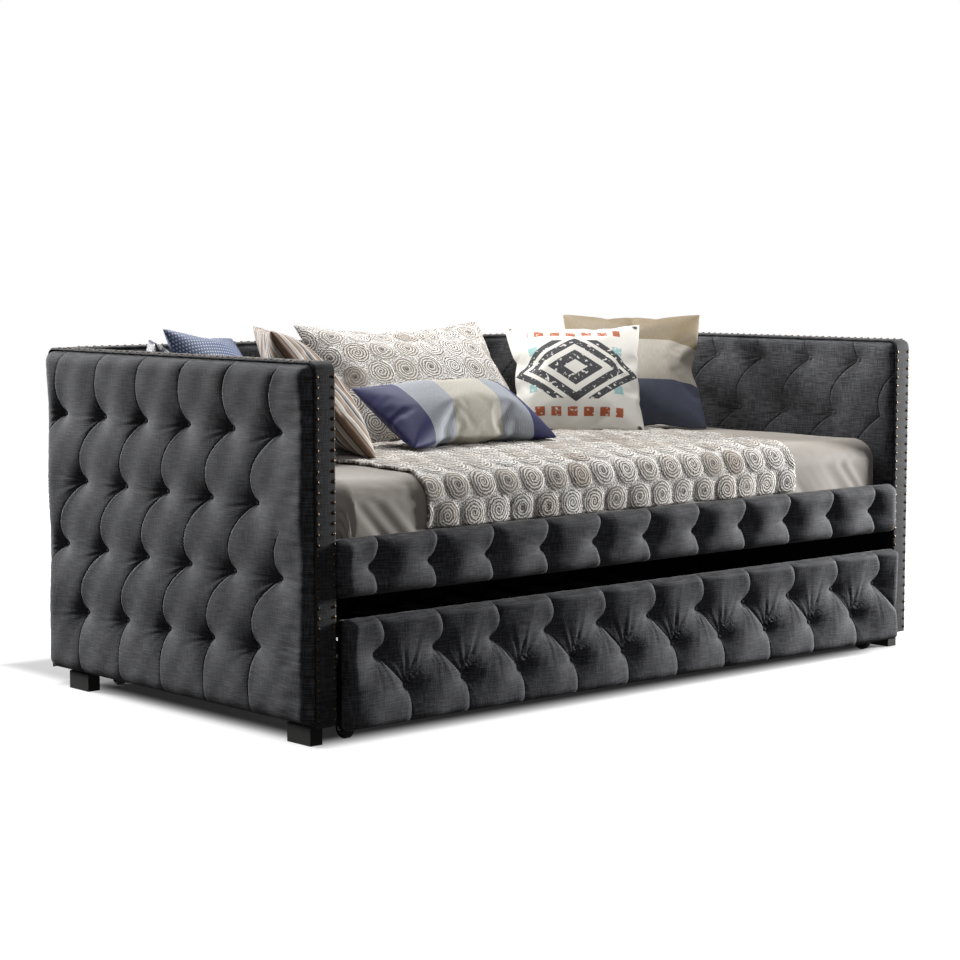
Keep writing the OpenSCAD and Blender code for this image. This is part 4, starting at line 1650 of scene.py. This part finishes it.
@dataclass
class Pillow:
    """A stuffed throw pillow, blown up from two flat panels.

    Attributes:
        name: the CAD pillow that it stands for.
        at: where the middle of its lower edge stands.
        turn: its turn about the vertical, in degrees.
        lean: how far it leans back, in degrees.
        width, height, plump: its finished size.
        finish: its cloth.
        roll: its turn in its own plane, in degrees.
        pressure: how hard it is blown up.
        cell: the panels' mesh spacing.
        rest: height of its lowest point.
        droop: how much fuller it is low down.
        hold: how much of the flat cut the finished outline keeps.
    """

    name: str
    at: tuple[float, float]
    turn: float
    lean: float
    width: float
    height: float
    plump: float
    finish: Finish
    roll: float = 0.0
    pressure: float = 5.0
    cell: float = 0.0085
    rest: float = 0.592
    droop: float = 0.14
    hold: float = 0.55

    def envelope(self) -> bpy.types.Object:
        """Makes the two flat panels, joined all round."""
        nx, ny = round(self.width / self.cell), round(self.height / self.cell)
        w, h = self.width / 2, self.height / 2
        piece = add_grid(self.name + "_stuffed", np.linspace(-w, w, nx + 1),
                         np.linspace(-h, h, ny + 1))
        edit(piece)
        bpy.ops.mesh.duplicate()
        bpy.ops.mesh.flip_normals()
        bpy.ops.transform.translate(value=(0, 0, -0.001))
        done(piece)
        at = points_of(piece)
        inside = np.minimum(w - np.abs(at[:, 0]), h - np.abs(at[:, 1]))
        fill = np.clip(inside / 0.05, 0, 1) ** 0.5 * 0.012
        at[:, 2] = np.where(at[:, 2] < -0.0005, -fill, fill)
        at[inside < 1e-6, 2] = 0
        set_points(piece, at)
        edit(piece)
        bpy.ops.mesh.remove_doubles(threshold=0.0004)
        done(piece)
        return piece

    def inflate(self, piece: bpy.types.Object) -> None:
        """Blows the envelope up by cloth simulation and keeps part of its seams' pull."""
        flat = points_of(piece)
        hold(piece)
        cloth = piece.modifiers.new("stuffing", "CLOTH")
        for key, value in STUFFING.items():
            setattr(cloth.settings, key, value)
        cloth.settings.uniform_pressure_force = self.pressure
        cloth.settings.effector_weights.gravity = 0
        cloth.point_cache.frame_start = 1
        cloth.point_cache.frame_end = SIM_FRAMES
        scene = bpy.context.scene
        for step in range(1, SIM_FRAMES + 1):
            scene.frame_set(step)
        bpy.ops.object.modifier_apply(modifier=cloth.name)
        scene.frame_set(1)
        blown = points_of(piece)
        blown[:, :2] = self.hold * flat[:, :2] + (1 - self.hold) * blown[:, :2]
        set_points(piece, blown)

    def shape(self, piece: bpy.types.Object) -> None:
        """Brings the blown-up form to its real plumpness and settles its stuffing."""
        at = points_of(piece)
        middle = (at.max(0) + at.min(0)) / 2
        at -= middle
        size = at.max(0) - at.min(0)
        at *= np.array([self.width, self.height, self.plump]) / np.maximum(size, 1e-6)
        down = np.clip(0.5 - at[:, 1] / self.height, 0, 1)
        at[:, 2] *= 1 + self.droop * np.sin(np.pi * down**0.8)
        at[:, 1] += self.height / 2
        set_points(piece, at)

    def build(self) -> bpy.types.Object:
        """Makes the pillow.

        Returns:
            The finished pillow, in place.
        """
        piece = self.envelope()
        if self.finish is ROSETTE:
            set_uv(piece, points_of(piece)[:, :2])
        self.inflate(piece)
        self.shape(piece)
        finish_with(piece, "SUBSURF", levels=1, render_levels=1)
        stand = Matrix(((1, 0, 0, 0), (0, 0, -1, 0), (0, 1, 0, 0), (0, 0, 0, 1)))
        lean = Matrix.Rotation(math.radians(-self.lean), 4, "X")
        turn = Matrix.Rotation(math.radians(self.turn), 4, "Z")
        roll = Matrix.Rotation(math.radians(self.roll), 4, "Y")
        piece.data.transform(turn @ lean @ roll @ stand)
        low = points_of(piece)[:, 2].min()
        piece.data.transform(Matrix.Translation((*self.at, self.rest - low)))
        smooth(piece)
        dress(piece, self.finish, "daybed", self.name)
        return piece


NAVY = (0.010, 0.012, 0.125)
ICE = (0.40, 0.43, 0.48)
IVORY = (0.66, 0.62, 0.52)
LUMBAR_CLOTH = Bands("navy_satin", ((0.0, NAVY), (0.17, ICE), (0.35, IVORY), (0.66, ICE),
                                    (0.85, NAVY)), 0, 620.0, 0.62,
                     ribbed=(0.155, 0.335))
BANDED_CLOTH = Bands("banded_cloth", ((0.0, (0.085, 0.10, 0.155)), (0.34, (0.60, 0.55, 0.47)),
                                      (0.67, (0.30, 0.23, 0.13))), 1)
STRIPES = ((0.0, (0.30, 0.19, 0.12)), (0.13, (0.035, 0.022, 0.018)), (0.17, (0.62, 0.52, 0.43)),
           (0.27, (0.80, 0.77, 0.71)), (0.34, (0.20, 0.12, 0.08)), (0.38, (0.45, 0.33, 0.24)),
           (0.50, (0.78, 0.74, 0.68)), (0.55, (0.05, 0.032, 0.026)), (0.60, (0.36, 0.34, 0.33)),
           (0.68, (0.82, 0.79, 0.74)), (0.75, (0.38, 0.25, 0.17)), (0.87, (0.04, 0.026, 0.022)),
           (0.92, (0.70, 0.62, 0.54)))
STRIPED_CLOTH = Bands("striped_cloth", STRIPES, 0, repeats=3.6)
PRINTED_CANVAS = Canvas("printed_canvas")
BLUE_DOTTED = Dots("blue_dotted")
NAVY_FIGURED = Dots("navy_figured", (0.03, 0.035, 0.07), (0.75, 0.74, 0.72), 11.0, 0.42, True)

PILLOWS = [
    Pillow("navy_pillow", (-0.790, 0.266), 60, 20, 0.240, 0.300, 0.085, NAVY_FIGURED),
    Pillow("blue_pillow", (-0.672, 0.204), 20, 33, 0.285, 0.336, 0.105, BLUE_DOTTED, roll=8),
    Pillow("striped_pillow", (-0.524, -0.078), 60, 39, 0.362, 0.406, 0.120, STRIPED_CLOTH),
    Pillow("rosette_pillow", (-0.111, 0.070), 0, 40, 0.645, 0.408, 0.115, ROSETTE),
    Pillow("banded_pillow", (0.602, 0.092), -42, 39, 0.405, 0.412, 0.105, BANDED_CLOTH),
    Pillow("canvas_pillow", (0.313, 0.042), -42, 43, 0.388, 0.405, 0.105, PRINTED_CANVAS),
    Pillow("lumbar_pillow", (-0.213, -0.186), 0, 61, 0.492, 0.284, 0.145, LUMBAR_CLOTH, hold=0.42),
]


# ---------------------------------------------------------------------------
# Joinery and running gear, which keep their CAD shape
# ---------------------------------------------------------------------------


JOINERY: tuple[tuple[Finish, tuple[str, ...]], ...] = (
    # The cores and inner timbers are painted near-black as painted shade.
    (CORE_PAINTED_SHADE, ("left_arm_core", "right_arm_core", "back_core")),
    (TIMBER_PAINTED_SHADE, ("rail_board", "front_ledger", "rear_ledger", "centre_beam", "deck_slats",
               "trundle_board", "trundle_left_side", "trundle_right_side", "trundle_back_rail",
               "trundle_ledgers", "left_runner", "right_runner", "trundle_slats")),
    (ESPRESSO, ("front_left_foot", "front_right_foot", "rear_left_foot", "rear_right_foot")),
    (ZINC, ("foot_bolts", "beam_hangers", "corner_brackets", "caster_axles")),
    (BLACK_STEEL, ("caster_forks",)),
    (BLACK_WHEEL, ("front_left_wheel", "front_right_wheel", "rear_left_wheel",
                   "rear_right_wheel")),
)


def dress_joinery() -> None:
    """Gives every carried-over CAD node its finish."""
    for finish, names in JOINERY:
        for name in names:
            coat(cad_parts[name], finish)
            log.info("%s: kept, %s", name, finish.name)


def main() -> None:
    """Builds everything in order."""
    logging.basicConfig(level=logging.INFO, format="%(message)s")
    Studio().build()
    upholstery = Upholstery()
    upholstery.build()
    Trim().build(upholstery)
    BoardWraps().build()
    Bedding().build()
    for pillow in PILLOWS:
        pillow.build()
    dress_joinery()


if __name__ == "__main__":
    main()
